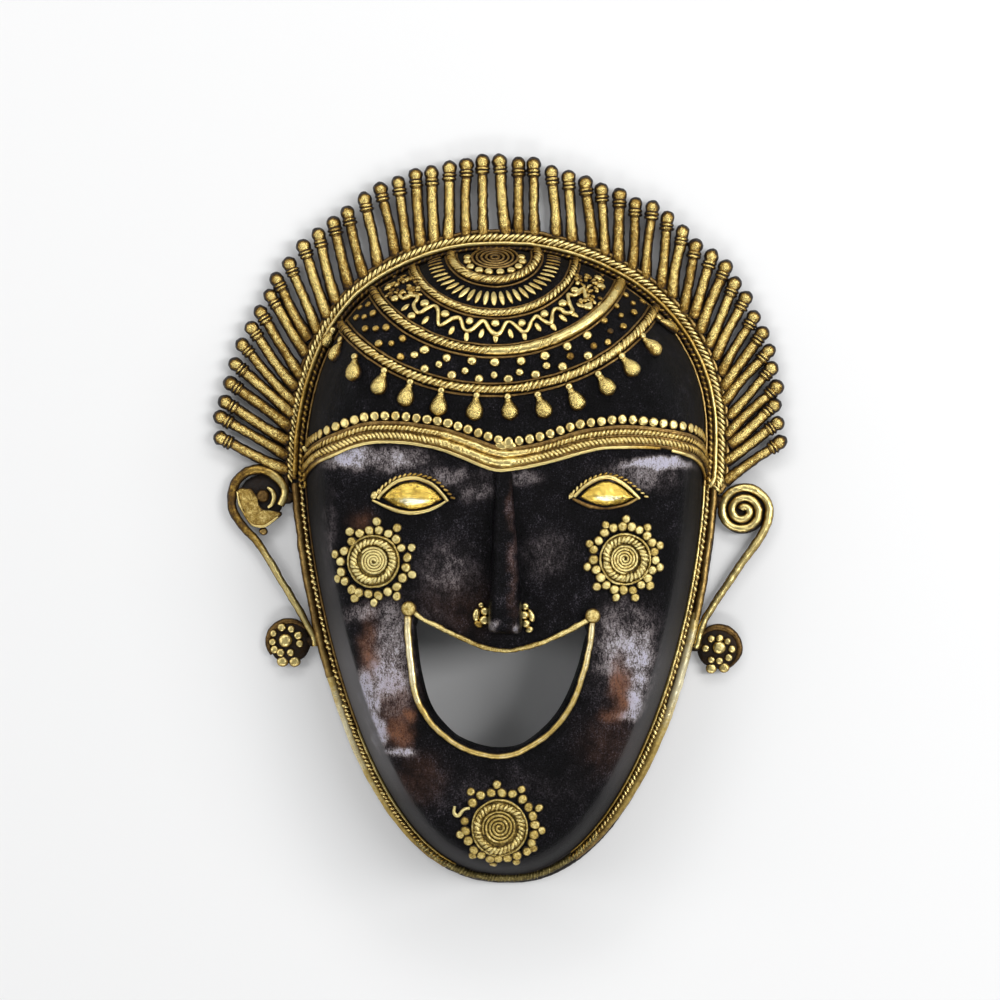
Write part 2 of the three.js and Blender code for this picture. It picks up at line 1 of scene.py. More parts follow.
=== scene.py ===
import math
import bmesh
import bpy
import numpy as np
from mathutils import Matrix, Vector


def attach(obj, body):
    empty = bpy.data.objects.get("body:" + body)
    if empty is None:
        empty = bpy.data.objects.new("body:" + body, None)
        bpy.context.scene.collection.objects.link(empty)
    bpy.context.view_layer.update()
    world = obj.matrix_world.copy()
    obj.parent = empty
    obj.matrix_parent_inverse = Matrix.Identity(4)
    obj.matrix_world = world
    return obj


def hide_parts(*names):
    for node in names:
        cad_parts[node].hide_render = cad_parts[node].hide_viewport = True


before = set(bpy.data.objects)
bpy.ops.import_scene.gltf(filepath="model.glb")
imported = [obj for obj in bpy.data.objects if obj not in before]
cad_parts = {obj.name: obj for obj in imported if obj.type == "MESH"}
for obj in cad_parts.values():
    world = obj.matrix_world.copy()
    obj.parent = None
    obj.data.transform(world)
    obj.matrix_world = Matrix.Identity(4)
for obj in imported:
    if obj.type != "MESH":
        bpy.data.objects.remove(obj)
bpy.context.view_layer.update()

# The hollow shell: a single lost-wax brass casting, blackened all over, with a low domed crown, steep
# sides, a broad front and an open back. The wax was smoothed by hand, so the skin is dented and scratched.
MM = 0.001
FACE_X, EAR_LEVEL = 1.5, 14.2
FACE_LEFT, FACE_RIGHT = 69.0, 69.2
ARCH_RISE, ARCH_POWER_LEFT, ARCH_POWER_RIGHT = 79.6, 2.63, 2.33
JAW_DROP, JAW_TAPER, CHIN_DRIFT, JAW_FULL_LEFT, JAW_FULL_RIGHT = 138.1, 1.51, 1.5, 2.36, 2.1
FOOT_HEIGHT, RELIEF, EDGE_ROUNDNESS = 4.0, 37.0, 0.55
SIDE_STEEPNESS, CROWN_STEEPNESS, CROWN_SPREAD, EDGE_CRISPNESS = 14.0, 2.2, 1.2, 5.0
SIDE_DOME, CHIN_DOME = 0.24, 0.14
WALL, BACK_LEVEL = 3.2, 0.02

# How far the hand-shaped arch stands out of an even curve, as a share of its radius, from ear to ear.
BULGE_AT = [0, 6, 14, 20, 28, 36, 46, 56, 66, 76, 86, 96, 106, 116, 126, 136, 146, 156, 166, 180]
BULGE = [0, 0.009, 0.021, 0.031, 0.031, 0.022, 0.005, -0.012, -0.0207, -0.0163, -0.0066, -0.0048, -0.0204,
         -0.0372, -0.0355, -0.0328, -0.026, -0.018, -0.006, 0]
bulge_chart = np.interp(np.arange(-90, 271), BULGE_AT, BULGE)
bulge_chart = np.convolve(np.convolve(bulge_chart, np.ones(9) / 9, "same"), np.ones(7) / 7, "same")


def hand_bulge(across, along):
    turn = np.degrees(np.arctan2(along, across))
    return 1 + np.interp(turn, np.arange(-90, 271), bulge_chart) * (along > 0)


def foot_of_wall(turn):
    """Where the side wall meets the back at this turn, in degrees from the right ear over the crown."""
    s, c = np.sin(np.radians(turn)), np.cos(np.radians(turn))
    half = np.where(c < 0, FACE_LEFT, FACE_RIGHT)
    power = np.where(c < 0, ARCH_POWER_LEFT, ARCH_POWER_RIGHT)
    arch_x, arch_y = np.sign(c) * half * abs(c) ** (2 / power), ARCH_RISE * abs(s) ** (2 / power)
    out = hand_bulge(arch_x, arch_y)
    arch_x, arch_y = arch_x * out, arch_y * out
    drop, full = abs(s) ** (2 / JAW_TAPER), np.where(c < 0, JAW_FULL_LEFT, JAW_FULL_RIGHT)
    jaw_x, jaw_y = CHIN_DRIFT * drop + np.sign(c) * half * abs(c) ** (2 / full), -JAW_DROP * drop
    return FACE_X + np.where(s >= 0, arch_x, jaw_x), EAR_LEVEL + np.where(s >= 0, arch_y, jaw_y)


def level_of(y):
    """From 0 at the ears to 1 at the top of the crown's edge, and to -1 at the foot of the chin."""
    along = y - EAR_LEVEL
    return np.where(along >= 0, along / ARCH_RISE, along / JAW_DROP)


def share_of_face(x, y):
    """0 in the middle of the face and 1 at the foot of its wall, and the height up or down that ray."""
    across, along = x - FACE_X, y - EAR_LEVEL
    half = np.where(across < 0, FACE_LEFT, FACE_RIGHT)
    power = np.where(across < 0, ARCH_POWER_LEFT, ARCH_POWER_RIGHT)
    arch = ((abs(across) / half) ** power + (np.maximum(along, 0) / ARCH_RISE) ** power) ** (1 / power)
    arch = arch / hand_bulge(across, along)
    full = np.where(across < 0, JAW_FULL_LEFT, JAW_FULL_RIGHT)
    low, high = np.zeros_like(x), np.full_like(x, 4.0)
    for _ in range(34):
        middle = (low + high) / 2
        drop = np.maximum(-along, 0) / middle / JAW_DROP
        wide = abs(across / middle - CHIN_DRIFT * drop) / half
        inside = wide ** full + drop ** JAW_TAPER < 1
        low, high = np.where(inside, low, middle), np.where(inside, middle, high)
    out = np.where(along >= 0, arch, high)
    return out, level_of(y) / np.maximum(out, 1e-7)


def smooth_dome(out, level):
    """The height of the front, in mm above the back, without its dents."""
    out, up, down = np.minimum(out, 1), np.clip(level, 0, 1), np.clip(-level, 0, 1)
    steep = SIDE_STEEPNESS + (CROWN_STEEPNESS - SIDE_STEEPNESS) * up ** CROWN_SPREAD
    lean = np.interp(down, [0, 0.48, 0.63, 0.77, 0.88, 0.96, 1],
                     [0.088, 0.083, 0.077, 0.07, 0.061, 0.052, 0.046])
    wall = (1 - out) / lean
    wall = wall / (1 + wall ** EDGE_CRISPNESS) ** (1 / EDGE_CRISPNESS)
    soft = np.clip(up / 0.4, 0, 1) ** 2 * (3 - 2 * np.clip(up / 0.4, 0, 1))
    wall = wall * (1 - soft) + (1 - out ** steep) ** EDGE_ROUNDNESS * soft
    dome = SIDE_DOME * (1 - up) + (CHIN_DOME - SIDE_DOME) * down
    return FOOT_HEIGHT + RELIEF * (1 - dome * out * out) * wall


def lumps(x, y, z, size, seed):
    """Smooth lumps from -1 to 1, about size mm apart, the same at each run."""
    table = np.random.default_rng(seed).uniform(-1, 1, (32, 32, 32))
    cell, part = [], []
    for v in (x, y, z):
        v = np.asarray(v, float) / size + 400.37
        f = np.floor(v)
        cell.append(f.astype(int))
        v = v - f
        part.append(v * v * (3 - 2 * v))
    total = 0
    for i in (0, 1):
        for j in (0, 1):
            for k in (0, 1):
                share = 1
                for axis, corner in enumerate((i, j, k)):
                    share = share * (part[axis] if corner else 1 - part[axis])
                total = total + share * table[(cell[0] + i) % 32, (cell[1] + j) % 32, (cell[2] + k) % 32]
    return total


def dents(x, y, out):
    """Hand-worked unevenness of the front, in mm. It dies away on the side wall."""
    fade = np.clip((0.97 - out) / 0.09, 0, 1)
    return fade * (0.55 * lumps(x, y, 0 * x, 26, 1) + 0.2 * lumps(x, y, 0 * x, 9, 2)
                   + 0.09 * lumps(x, y, 0 * x, 3.4, 3))


SKIN_STEP = 0.25
skin_x, skin_y = np.arange(-72, 76, SKIN_STEP), np.arange(-128, 98, SKIN_STEP)
grid_x, grid_y = np.meshgrid(skin_x, skin_y)
grid_out, grid_level = share_of_face(grid_x, grid_y)
SKIN = smooth_dome(grid_out, grid_level) + dents(grid_x, grid_y, grid_out)
SLOPE_Y, SLOPE_X = np.gradient(SKIN, SKIN_STEP)


def read_chart(chart, row, column):
    """A chart read between its rows and columns."""
    i, j = np.minimum(row.astype(int), len(chart) - 2), np.minimum(column.astype(int), len(chart[0]) - 2)
    u, v = row - i, column - j
    near = chart[i, j] * (1 - v) + chart[i, j + 1] * v
    return near * (1 - u) + (chart[i + 1, j] * (1 - v) + chart[i + 1, j + 1] * v) * u


def read_skin(chart, x, y):
    """One of the charts of the front, read at places in mm."""
    column = np.clip((np.asarray(x, float) - skin_x[0]) / SKIN_STEP, 0, len(skin_x) - 1.001)
    row = np.clip((np.asarray(y, float) - skin_y[0]) / SKIN_STEP, 0, len(skin_y) - 1.001)
    return read_chart(chart, row, column)


def skin_height(x, y):
    return read_skin(SKIN, x, y)


def skin_facing(x, y):
    """Which way the front faces at each place."""
    way = np.stack([-read_skin(SLOPE_X, x, y), -read_skin(SLOPE_Y, x, y), np.ones(np.shape(x))], -1)
    return way / np.linalg.norm(way, axis=-1, keepdims=True)


def on_skin(line):
    """Places across the front, with the height of the front at each."""
    return np.column_stack([line, skin_height(line[:, 0], line[:, 1])])


def mesh_piece(name, points, faces, edges=()):
    """A mesh object from points in mm."""
    mesh = bpy.data.meshes.new(name)
    mesh.from_pydata((np.asarray(points, float) * MM).tolist(), [list(e) for e in edges], faces)
    piece = bpy.data.objects.new(name, mesh)
    bpy.context.scene.collection.objects.link(piece)
    return piece


def smooth(piece):
    for polygon in piece.data.polygons:
        polygon.use_smooth = True


def points_of(piece):
    flat = np.zeros(len(piece.data.vertices) * 3, np.float32)
    piece.data.vertices.foreach_get("co", flat)
    return flat.reshape(-1, 3).astype(float) / MM


def facing_of(piece):
    flat = np.zeros(len(piece.data.vertices) * 3, np.float32)
    piece.data.vertices.foreach_get("normal", flat)
    return flat.reshape(-1, 3).astype(float)


def mark(piece, name, values):
    """Stores one value or direction on every vertex, for a material or a node tree to read."""
    values = np.asarray(values, np.float32)
    old = piece.data.attributes.get(name)
    if old:
        piece.data.attributes.remove(old)
    kind, field = ("FLOAT_VECTOR", "vector") if values.ndim == 2 else ("FLOAT", "value")
    piece.data.attributes.new(name, kind, "POINT").data.foreach_set(field, values.ravel())


def part_of_casting(piece):
    """Every piece here is the one brass casting, which the CAD node mask stands for."""
    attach(piece, "root")
    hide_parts("mask")


def round_sheet(cells):
    """A square sheet of quads pressed into a round one: ring share, turn and faces."""
    line = np.linspace(-1, 1, cells + 1)
    u, v = np.meshgrid(line, line)
    wide = abs(u) > abs(v)
    ring = np.where(wide, abs(u), abs(v))
    safe_u, safe_v = np.where(u == 0, 1, u), np.where(v == 0, 1, v)
    turn = np.where(wide, 45 * v / safe_u + np.where(u > 0, 0, 180),
                    np.where(v > 0, 90, 270) - 45 * u / safe_v)
    row, corner = cells + 1, np.arange(cells * (cells + 1)).reshape(cells, cells + 1)[:, :-1].ravel()
    faces = np.stack([corner, corner + 1, corner + row + 1, corner + row], 1)
    edge = np.concatenate([np.arange(row), np.arange(1, row) * row + cells,
                           (row * row - 2) - np.arange(cells), (cells - 1 - np.arange(cells - 1)) * row])
    return ring.ravel(), turn.ravel() % 360, faces, edge


OUTER_CELLS, INNER_CELLS = 248, 124
fine_turn = np.linspace(0, 360, 7201)
fine_x, fine_y = foot_of_wall(fine_turn)
walked = np.concatenate([[0], np.cumsum(np.hypot(np.diff(fine_x), np.diff(fine_y)))])


def even_turn(turn):
    """Spreads the turns evenly round the outline's length."""
    return np.interp(np.asarray(turn) / 360 * walked[-1], walked, fine_turn)


# The sheet's points lie in even steps along the dome, counted up the wall on a ray at every degree.
RING_STEPS, RAY_POINTS = 300, 500
ray_turn, ray_share = even_turn(np.arange(0, 361, 1.0)), 1 - (1 - np.linspace(0, 1, RAY_POINTS)) ** 2.2
ray_x, ray_y = foot_of_wall(ray_turn)
reach = np.hypot(ray_x - FACE_X, ray_y - EAR_LEVEL)
rise = smooth_dome(ray_share[None, :], level_of(ray_y)[:, None])
step = np.hypot(np.diff(ray_share)[None, :] * reach[:, None], np.diff(rise, axis=1))
length = np.concatenate([np.zeros((len(ray_turn), 1)), np.cumsum(step, 1)], 1)
length /= length[:, -1:]
ring_line = np.linspace(0, 1, RING_STEPS + 1)
share_chart = np.stack([np.interp(ring_line, row, ray_share) for row in length])

ring, turn, outer_faces, outer_edge = round_sheet(OUTER_CELLS)
share = read_chart(share_chart, turn, ring * RING_STEPS)
x, y = foot_of_wall(even_turn(turn))
level = level_of(y)
x, y = FACE_X + (x - FACE_X) * share, EAR_LEVEL + (y - EAR_LEVEL) * share
front = np.stack([x, y, smooth_dome(share, level) + dents(x, y, share)], 1)

side = OUTER_CELLS + 1
sheet = front.reshape(side, side, 3)
across, along = np.gradient(sheet, axis=1), np.gradient(sheet, axis=0)
normal = np.cross(across, along)
normal /= np.linalg.norm(normal, axis=2, keepdims=True)
back = (sheet - WALL * normal)[::2, ::2].reshape(-1, 3)
rough_back = 0.35 * lumps(back[:, 0], back[:, 1], back[:, 2], 7, 4)
back[:, 2] = np.maximum(back[:, 2], FOOT_HEIGHT * 0.5) + rough_back
_, _, inner_faces, inner_edge = round_sheet(INNER_CELLS)
outer_foot, inner_foot = front[outer_edge].copy(), back[inner_edge].copy()
outer_foot[:, 2] = inner_foot[:, 2] = BACK_LEVEL
count = len(front)
points = np.concatenate([front, back, outer_foot, inner_foot])
faces = [list(f) for f in outer_faces] + [list(f[::-1] + count) for f in inner_faces]
first_outer, first_inner = count + len(back), count + len(back) + len(outer_foot)
n_out, n_in = len(outer_edge), len(inner_edge)
for k in range(n_out):
    m = (k + 1) % n_out
    faces.append([first_outer + k, first_outer + m, outer_edge[m], outer_edge[k]])
for k in range(n_in):
    m = (k + 1) % n_in
    faces.append([count + inner_edge[k], count + inner_edge[m], first_inner + m, first_inner + k])
    a, b, c = first_outer + 2 * k, first_outer + 2 * k + 1, first_outer + (2 * k + 2) % n_out
    faces += [[first_inner + k, b, a], [first_inner + k, first_inner + m, b], [first_inner + m, c, b]]
shell = mesh_piece("face_shell", points, [[int(n) for n in f] for f in faces])

# The mouth's opening is cut through the wall: a wide smile whose cut edge leans in at the sides and below.
MOUTH_FRONT = [(-29.9, -34), (-29.9, -40.7), (-28.9, -49.2), (-27.7, -57.6), (-25.5, -63.5),
               (-21.7, -68.8), (-16.3, -73.7), (-9.9, -77), (-3.2, -78.8), (3.6, -78.5), (9.7, -75.6),
               (15.8, -71.5), (21.2, -65.3), (24.7, -58.8), (27.2, -50.8), (29.2, -42.6), (29.9, -36.8)]
MOUTH_BACK = [(-28.3, -36.5), (-27.8, -41.2), (-26.6, -50.3), (-24.3, -59.1), (-21.8, -64.5),
              (-18.3, -69.2), (-14, -73.1), (-8.4, -75.6), (-3, -76.9), (3.2, -76.9), (8.3, -75.3),
              (14.6, -70.3), (19.5, -64.5), (23.4, -57.1), (26.2, -49.8), (28.3, -41.5), (29.3, -38.5)]
UPPER_LIP = [(-30.6, -30.0), (-26.8, -33.0), (-20.1, -36.7), (-15.0, -39.1), (-9.9, -41.4), (-4.9, -43.4),
             (0.2, -44.3), (5.2, -44.1), (10.3, -42.9), (15.4, -41.1), (20.4, -38.9), (25.5, -36.4),
             (31.2, -32.7)]


def walked_along(line):
    """How far along the line each of its points is."""
    return np.concatenate([[0], np.cumsum(np.linalg.norm(np.diff(line, axis=0), axis=1))])


def smooth_line(points, step, closed=False):
    """A smooth line through the given places, in even steps."""
    p = np.asarray(points, float)
    ends = (p[-1], p[0], p[1]) if closed else (2 * p[0] - p[1], p[-1] * 2 - p[-2], None)
    p = np.concatenate([[ends[0]], p, [ends[1]]] + ([[ends[2]]] if closed else []))
    t = np.linspace(0, 1, 24, endpoint=False)[:, None]
    runs = []
    for a, b, c, d in zip(p[:-3], p[1:-2], p[2:-1], p[3:]):
        runs.append(0.5 * (2 * b + (c - a) * t + (2 * a - 5 * b + 4 * c - d) * t ** 2
                           + (3 * b - a - 3 * c + d) * t ** 3))
    line = np.concatenate(runs + [[p[-2]]])
    gone = walked_along(line)
    count = max(int(round(gone[-1] / step)), 2)
    at = np.linspace(0, gone[-1], count + 1)
    line = np.stack([np.interp(at, gone, line[:, k]) for k in range(line.shape[1])], 1)
    return line[:-1] if closed else line


def read_along(values, share):
    """Values or places given in even steps, read at each share of the way."""
    values = np.asarray(values, float)
    if values.ndim < 2:
        return np.interp(share, np.linspace(0, 1, values.size), np.atleast_1d(values))
    return np.stack([np.interp(share, np.linspace(0, 1, len(values)), column) for column in values.T], 1)


def mouth_outline(lower_edge, raised):
    """The whole edge of the opening: the lower edge, then the line just under the upper lip."""
    lower = read_along(smooth_line(lower_edge, 1.2), np.linspace(0, 1, LOWER_EDGE_POINTS))
    lip = smooth_line(UPPER_LIP, 1.2) - (0, LIP_DROP)
    x = np.linspace(lower[-1, 0], lower[0, 0], UPPER_EDGE_POINTS)[1:-1]
    upper = np.stack([x, np.interp(x, lip[:, 0], lip[:, 1]) + raised], 1)
    return np.concatenate([lower, upper])


def ring_faces(rings, around, closed=False):
    """Quads that join rings of points, which are listed one ring after another."""
    return [[r * around + k, r * around + (k + 1) % around, (r + 1) % rings * around + (k + 1) % around,
             (r + 1) % rings * around + k] for r in range(rings if closed else rings - 1)
            for k in range(around)]


def turn_outwards(piece, merge=False, split=False):
    """Points all faces outwards. It can first merge points that meet, and then split the widest faces."""
    work = bmesh.new()
    work.from_mesh(piece.data)
    if merge:
        bmesh.ops.remove_doubles(work, verts=work.verts, dist=1e-6)
    bmesh.ops.recalc_face_normals(work, faces=work.faces)
    if split:
        bmesh.ops.triangulate(work, faces=[face for face in work.faces if len(face.verts) > 4])
    work.to_mesh(piece.data)
    work.free()


LOWER_EDGE_POINTS, UPPER_EDGE_POINTS, LIP_DROP = 120, 56, 0.7
CUT_TOP, CUT_BOTTOM = 60, 8
cut_front, cut_back = mouth_outline(MOUTH_FRONT, 0), mouth_outline(MOUTH_BACK, 0.2)
height = skin_height(cut_front[:, 0], cut_front[:, 1])[:, None]
rings = [np.hstack([cut_front, height * 0 + CUT_TOP]), np.hstack([cut_front, height + 0.1]),
         np.hstack([cut_back, height - WALL - 0.2]), np.hstack([cut_back, height * 0 + CUT_BOTTOM])]
n = len(cut_front)
faces = [list(range(n))[::-1], list(range(3 * n, 4 * n))] + ring_faces(4, n)
cutter = mesh_piece("mouth_cutter", np.concatenate(rings), faces)
turn_outwards(cutter)
cut = shell.modifiers.new("mouth", "BOOLEAN")
cut.operation, cut.solver, cut.object = "DIFFERENCE", "MANIFOLD", cutter
pierced = bpy.data.meshes.new_from_object(shell.evaluated_get(bpy.context.evaluated_depsgraph_get()))
shell.modifiers.clear()
shell.data = pierced
bpy.data.objects.remove(cutter)


def add_node(tree, kind, inputs=None, **settings):
    """One node. An input is a plain value, or another node's output to join it to."""
    node = tree.nodes.new(kind)
    for key, value in settings.items():
        setattr(node, key, value)
    for key, value in (inputs or {}).items():
        if isinstance(value, bpy.types.NodeSocket):
            tree.links.new(value, node.inputs[key])
        else:
            node.inputs[key].default_value = value
    return node


def reckon(tree, operation, *values):
    """One sum in a node tree, on plain values or on other nodes' outputs."""
    return add_node(tree, "ShaderNodeMath", dict(enumerate(values)), operation=operation).outputs[0]


def grain_of(tree, size, detail=3.0, stretch=(1, 1, 1), rough=0.55):
    """A noise from 0 to 1 on the piece's own millimetres."""
    place = add_node(tree, "ShaderNodeTexCoord").outputs["Object"]
    place = add_node(tree, "ShaderNodeMapping", {"Vector": place, "Scale": stretch}).outputs["Vector"]
    return add_node(tree, "ShaderNodeTexNoise", {"Vector": place, "Scale": 1000 / size, "Detail": detail,
                                                 "Roughness": rough}).outputs["Fac"]


def sum_of(tree, first, *others):
    """first + other x share, for each (other, share)."""
    for other, share in others:
        first = reckon(tree, "MULTIPLY_ADD", other, share, first)
    return first


def times(tree, first, *others):
    for other in others:
        first = reckon(tree, "MULTIPLY", first, other)
    return first


def ramp_of(tree, value, stops):
    """Colours along a value."""
    ramp = add_node(tree, "ShaderNodeValToRGB", {"Fac": value})
    while len(ramp.color_ramp.elements) < len(stops):
        ramp.color_ramp.elements.new(0.5)
    for element, (at, colour) in zip(ramp.color_ramp.elements, stops):
        element.position, element.color = at, (*colour, 1)
    return ramp.outputs["Color"]


def spread(tree, value, low, high, to_low, to_high):
    return add_node(tree, "ShaderNodeMapRange", {"Value": value, "From Min": low, "From Max": high,
                                                 "To Min": to_low, "To Max": to_high}).outputs["Result"]


def colour_over(tree, share, under, top):
    """One colour laid over another, as far as share says."""
    return add_node(tree, "ShaderNodeMix", {0: share, 6: under, 7: top}, data_type="RGBA").outputs[2]


def stored(tree, name):
    return add_node(tree, "ShaderNodeAttribute", attribute_name=name).outputs["Fac"]


def new_finish(name):
    finish = bpy.data.materials.new(name)
    finish.use_nodes = True
    tree = finish.node_tree
    tree.nodes.clear()
    metal = add_node(tree, "ShaderNodeBsdfPrincipled")
    add_node(tree, "ShaderNodeOutputMaterial", {"Surface": metal.outputs[0]})
    return finish, tree, metal


# Black patina on the shell: fired oil and soot in a scratched skin, rubbed back to brown and copper. The pale
# bluish patches on the cheeks, under the brow and at the nose tip are painted reflection, as is the paler
# grey of the side wall.
blackened, tree, metal = new_finish("blackened_brass")
rubbed, copper, painted_sheen = stored(tree, "rubbed"), stored(tree, "copper"), stored(tree, "painted_sheen")
wall = stored(tree, "wall")
strokes = grain_of(tree, 0.9, 4, (1, 0.4, 1), 0.7)
flecks = grain_of(tree, 0.5, 4, (1, 0.9, 1), 0.75)
mottle = grain_of(tree, 6.0, 5, (1, 0.8, 1), 0.6)
cracks = grain_of(tree, 2.6, 3, (1, 0.4, 1), 0.6)
beside_crack = spread(tree, reckon(tree, "ABSOLUTE", sum_of(tree, cracks, (1.0, -0.5))), 0.0, 0.03, 0.5, 1.0)
cloudy = sum_of(tree, flecks, (flecks, 0.5), (mottle, 0.7), (strokes, 0.9), (1.0, -1.0))
worn = sum_of(tree, rubbed, (strokes, 0.6), (flecks, 2.2), (mottle, 0.9), (wall, -0.5), (1.0, -1.65))
patina = ramp_of(tree, worn, [(0.1, (0.0008, 0.0007, 0.0009)), (0.42, (0.005, 0.0045, 0.006)),
                              (0.62, (0.038, 0.034, 0.042)), (0.85, (0.13, 0.11, 0.12)),
                              (1.0, (0.26, 0.23, 0.23))])
# Painted reflection: in the marked patches the patina turns pale pink to bluish white, broken by fine cracks.
shine = times(tree, painted_sheen, spread(tree, cloudy, 0.36, 0.74, 0.55, 1.6),
              spread(tree, mottle, 0.36, 0.6, 0.66, 1.12), beside_crack)
sheen_reflection_colour = ramp_of(tree, shine, [(0.0, (0.006, 0.005, 0.006)), (0.25, (0.06, 0.050, 0.053)),
                               (0.5, (0.19, 0.165, 0.165)), (0.8, (0.42, 0.395, 0.42)),
                               (1.0, (0.52, 0.50, 0.60))])
shown = spread(tree, shine, 0.03, 0.35, 0, 1)
tint = colour_over(tree, shown, patina, sheen_reflection_colour)
hot = times(tree, copper, spread(tree, mottle, 0.36, 0.62, 0.35, 1.2),
            spread(tree, flecks, 0.3, 0.7, 0.5, 1.2), beside_crack)
tint = colour_over(tree, spread(tree, hot, 0, 1, 0, 0.95), tint, (0.20, 0.085, 0.045, 1))
# Painted reflection: a paler grey laid over the steep side wall as far as its mark says; the same mark also
# darkens the patina beneath it.
tint = colour_over(tree, wall, tint, (0.115, 0.110, 0.112, 1))
tree.links.new(tint, metal.inputs["Base Color"])
tree.links.new(spread(tree, sum_of(tree, worn, (shine, 0.9)), 0.4, 1.1, 0.05, 0.9), metal.inputs["Metallic"])
dull = sum_of(tree, spread(tree, flecks, 0.3, 0.7, 0.24, 0.40), (stored(tree, "side"), 0.4))
tree.links.new(dull, metal.inputs["Roughness"])
metal.inputs["Specular IOR Level"].default_value = 0.08
front_only = reckon(tree, "SUBTRACT", 1.0, wall)
bump = sum_of(tree, flecks, (strokes, 0.5), (mottle, 1.0), (cracks, 0.8), (beside_crack, 0.4))
bump = add_node(tree, "ShaderNodeBump", {"Height": bump, "Distance": 0.0004,
                                         "Strength": spread(tree, front_only, 0, 1, 0.1, 0.85)})
tree.links.new(bump.outputs[0], metal.inputs["Normal"])


def patches(x, y, places):
    """How strongly each place lies in one of the patches (x, y, half width, half height, strength)."""
    total, z = np.zeros_like(x), 0 * x
    x = x + 1.5 * lumps(x, y, z, 3.6, 11) + 0.8 * lumps(x, y, z, 1.5, 12)
    y = y + 1.5 * lumps(x, y, z, 3.6, 13) + 0.8 * lumps(x, y, z, 1.5, 14)
    for px, py, wide, high, strength in places:
        far = ((x - px) / wide) ** 2 + ((y - py) / high) ** 2
        total = np.maximum(total, strength * np.exp(-far ** 1.3))
    return total


shell.data.materials.clear()
shell.data.materials.append(blackened)
place = points_of(shell)
x, y = place[:, 0], place[:, 1]
outside = place[:, 2] > skin_height(x, y) - 1.2
mark(shell, "rubbed", outside * patches(x, y, [(-38, -62, 11, 32, 0.22), (41, -58, 12, 30, 0.2),
                                               (-24, -34, 16, 9, 0.14), (-16, -14, 12, 14, 0.15),
                                               (24, -14, 14, 16, 0.12), (-8, -94, 30, 10, 0.14),
                                               (-38, 16, 26, 5, 0.18), (30, 20, 20, 6, 0.12)]))
mark(shell, "copper", outside * patches(x, y, [(-44, -43.5, 3.2, 10, 0.85), (-34.5, -71.5, 4.6, 5.0, 1.0),
                                               (-30.6, -66, 2.4, 2.0, 1.2), (40.6, -57, 3.4, 8.5, 1.1),
                                               (38.5, -66.5, 4.5, 2.2, 0.9), (-28, -88, 8, 8, 0.18),
                                               (-47, -2, 4, 4, 0.4), (38, -76, 10, 10, 0.14),
                                               (-14, -30, 12, 10, 0.1), (-36, -60, 7, 12, 0.35)]))
# Painted reflection: pale bluish patches on the cheeks, under the brow, along the side edges and beside the
# nose.
mark(shell, "painted_sheen", outside * patches(x, y, [(-36.5, -47, 9.5, 20, 0.55), (-37.5, -53, 8.5, 9, 0.9),
                                              (-45.6, -57, 3.0, 6.5, 1.35), (-43.6, -65, 3.2, 6.5, 1.4),
                                              (-40.6, -73, 3.0, 5.5, 1.3), (-35, -78.9, 6, 2.0, 0.9),
                                              (-51, 21, 11, 3.6, 0.95), (-36, 20, 14, 4.4, 0.5),
                                              (-18, 13.5, 14, 3.6, 0.36), (-8, 10, 8, 3.5, 0.3),
                                              (52.9, 18.6, 12, 2.0, 1.1), (46, 14, 16, 5, 0.38),
                                              (-17.7, -17.5, 11, 11, 0.3), (-16, -14.8, 5, 4, 0.45),
                                              (-43, -32, 12, 3.5, 0.42), (17, -12.5, 10, 9, 0.22),
                                              (42, -44, 12, 17, 0.5), (46.5, -48, 6.5, 12, 0.85),
                                              (46.0, -60, 4.5, 6, 1.0), (42.8, -67.0, 5, 1.4, 1.1),
                                              (8, 14, 8, 3, 0.3), (-58, -10, 3, 22, 0.2),
                                              (-24, -34, 8, 5, 0.25), (0, -92, 40, 10, 0.12)]))
steep = 1 - skin_facing(x, y)[:, 2]
mark(shell, "side", np.clip((steep - 0.3) / 0.2, 0, 1) * outside)
# How strong the painted reflection on the side wall is: most down the jaws, little over the crown, and less
# on the right.
painted_wall_reflection = np.interp(y, [-112, -96, -84, -50, -30, 5, 80], [0.25, 0.35, 0.8, 1, 0.4, 0.1, 0.05])
mark(shell, "wall", np.clip((steep - 0.34) / 0.12, 0, 1) * outside * painted_wall_reflection
     * np.interp(x, [-12, 14], [1, 0.5]))
smooth(shell)
part_of_casting(shell)

# The rim: a flat-backed band cast round the foot of the wall, wound with wax threads. Over the crown it
# carries a dark outer wire, a twisted rope, a plain wire and a fine braid; below the ears a copper-brown
# band, a braid and a thin inner wire run down to a dull, finely roped chin.
def start_tree(name, sizes):
    """An empty node tree with named sizes; every tree here ends in real geometry with its finish set."""
    tree = bpy.data.node_groups.new(name, "GeometryNodeTree")
    tree.interface.new_socket("Geometry", in_out="INPUT", socket_type="NodeSocketGeometry")
    tree.interface.new_socket("Geometry", in_out="OUTPUT", socket_type="NodeSocketGeometry")
    for label, kind in sizes.items():
        tree.interface.new_socket(label, in_out="INPUT", socket_type="NodeSocket" + kind)
    return tree, add_node(tree, "NodeGroupInput").outputs


def end_tree(tree, shape, finish):
    shape = add_node(tree, "GeometryNodeRealizeInstances", {"Geometry": shape}).outputs[0]
    shape = add_node(tree, "GeometryNodeSetShadeSmooth", {"Geometry": shape, "Shade Smooth": True}).outputs[0]
    shape = add_node(tree, "GeometryNodeSetMaterial", {"Geometry": shape, "Material": finish}).outputs[0]
    add_node(tree, "NodeGroupOutput", {0: shape})


def read_mark(tree, name, kind="FLOAT"):
    return add_node(tree, "GeometryNodeInputNamedAttribute", {"Name": name}, data_type=kind).outputs[0]


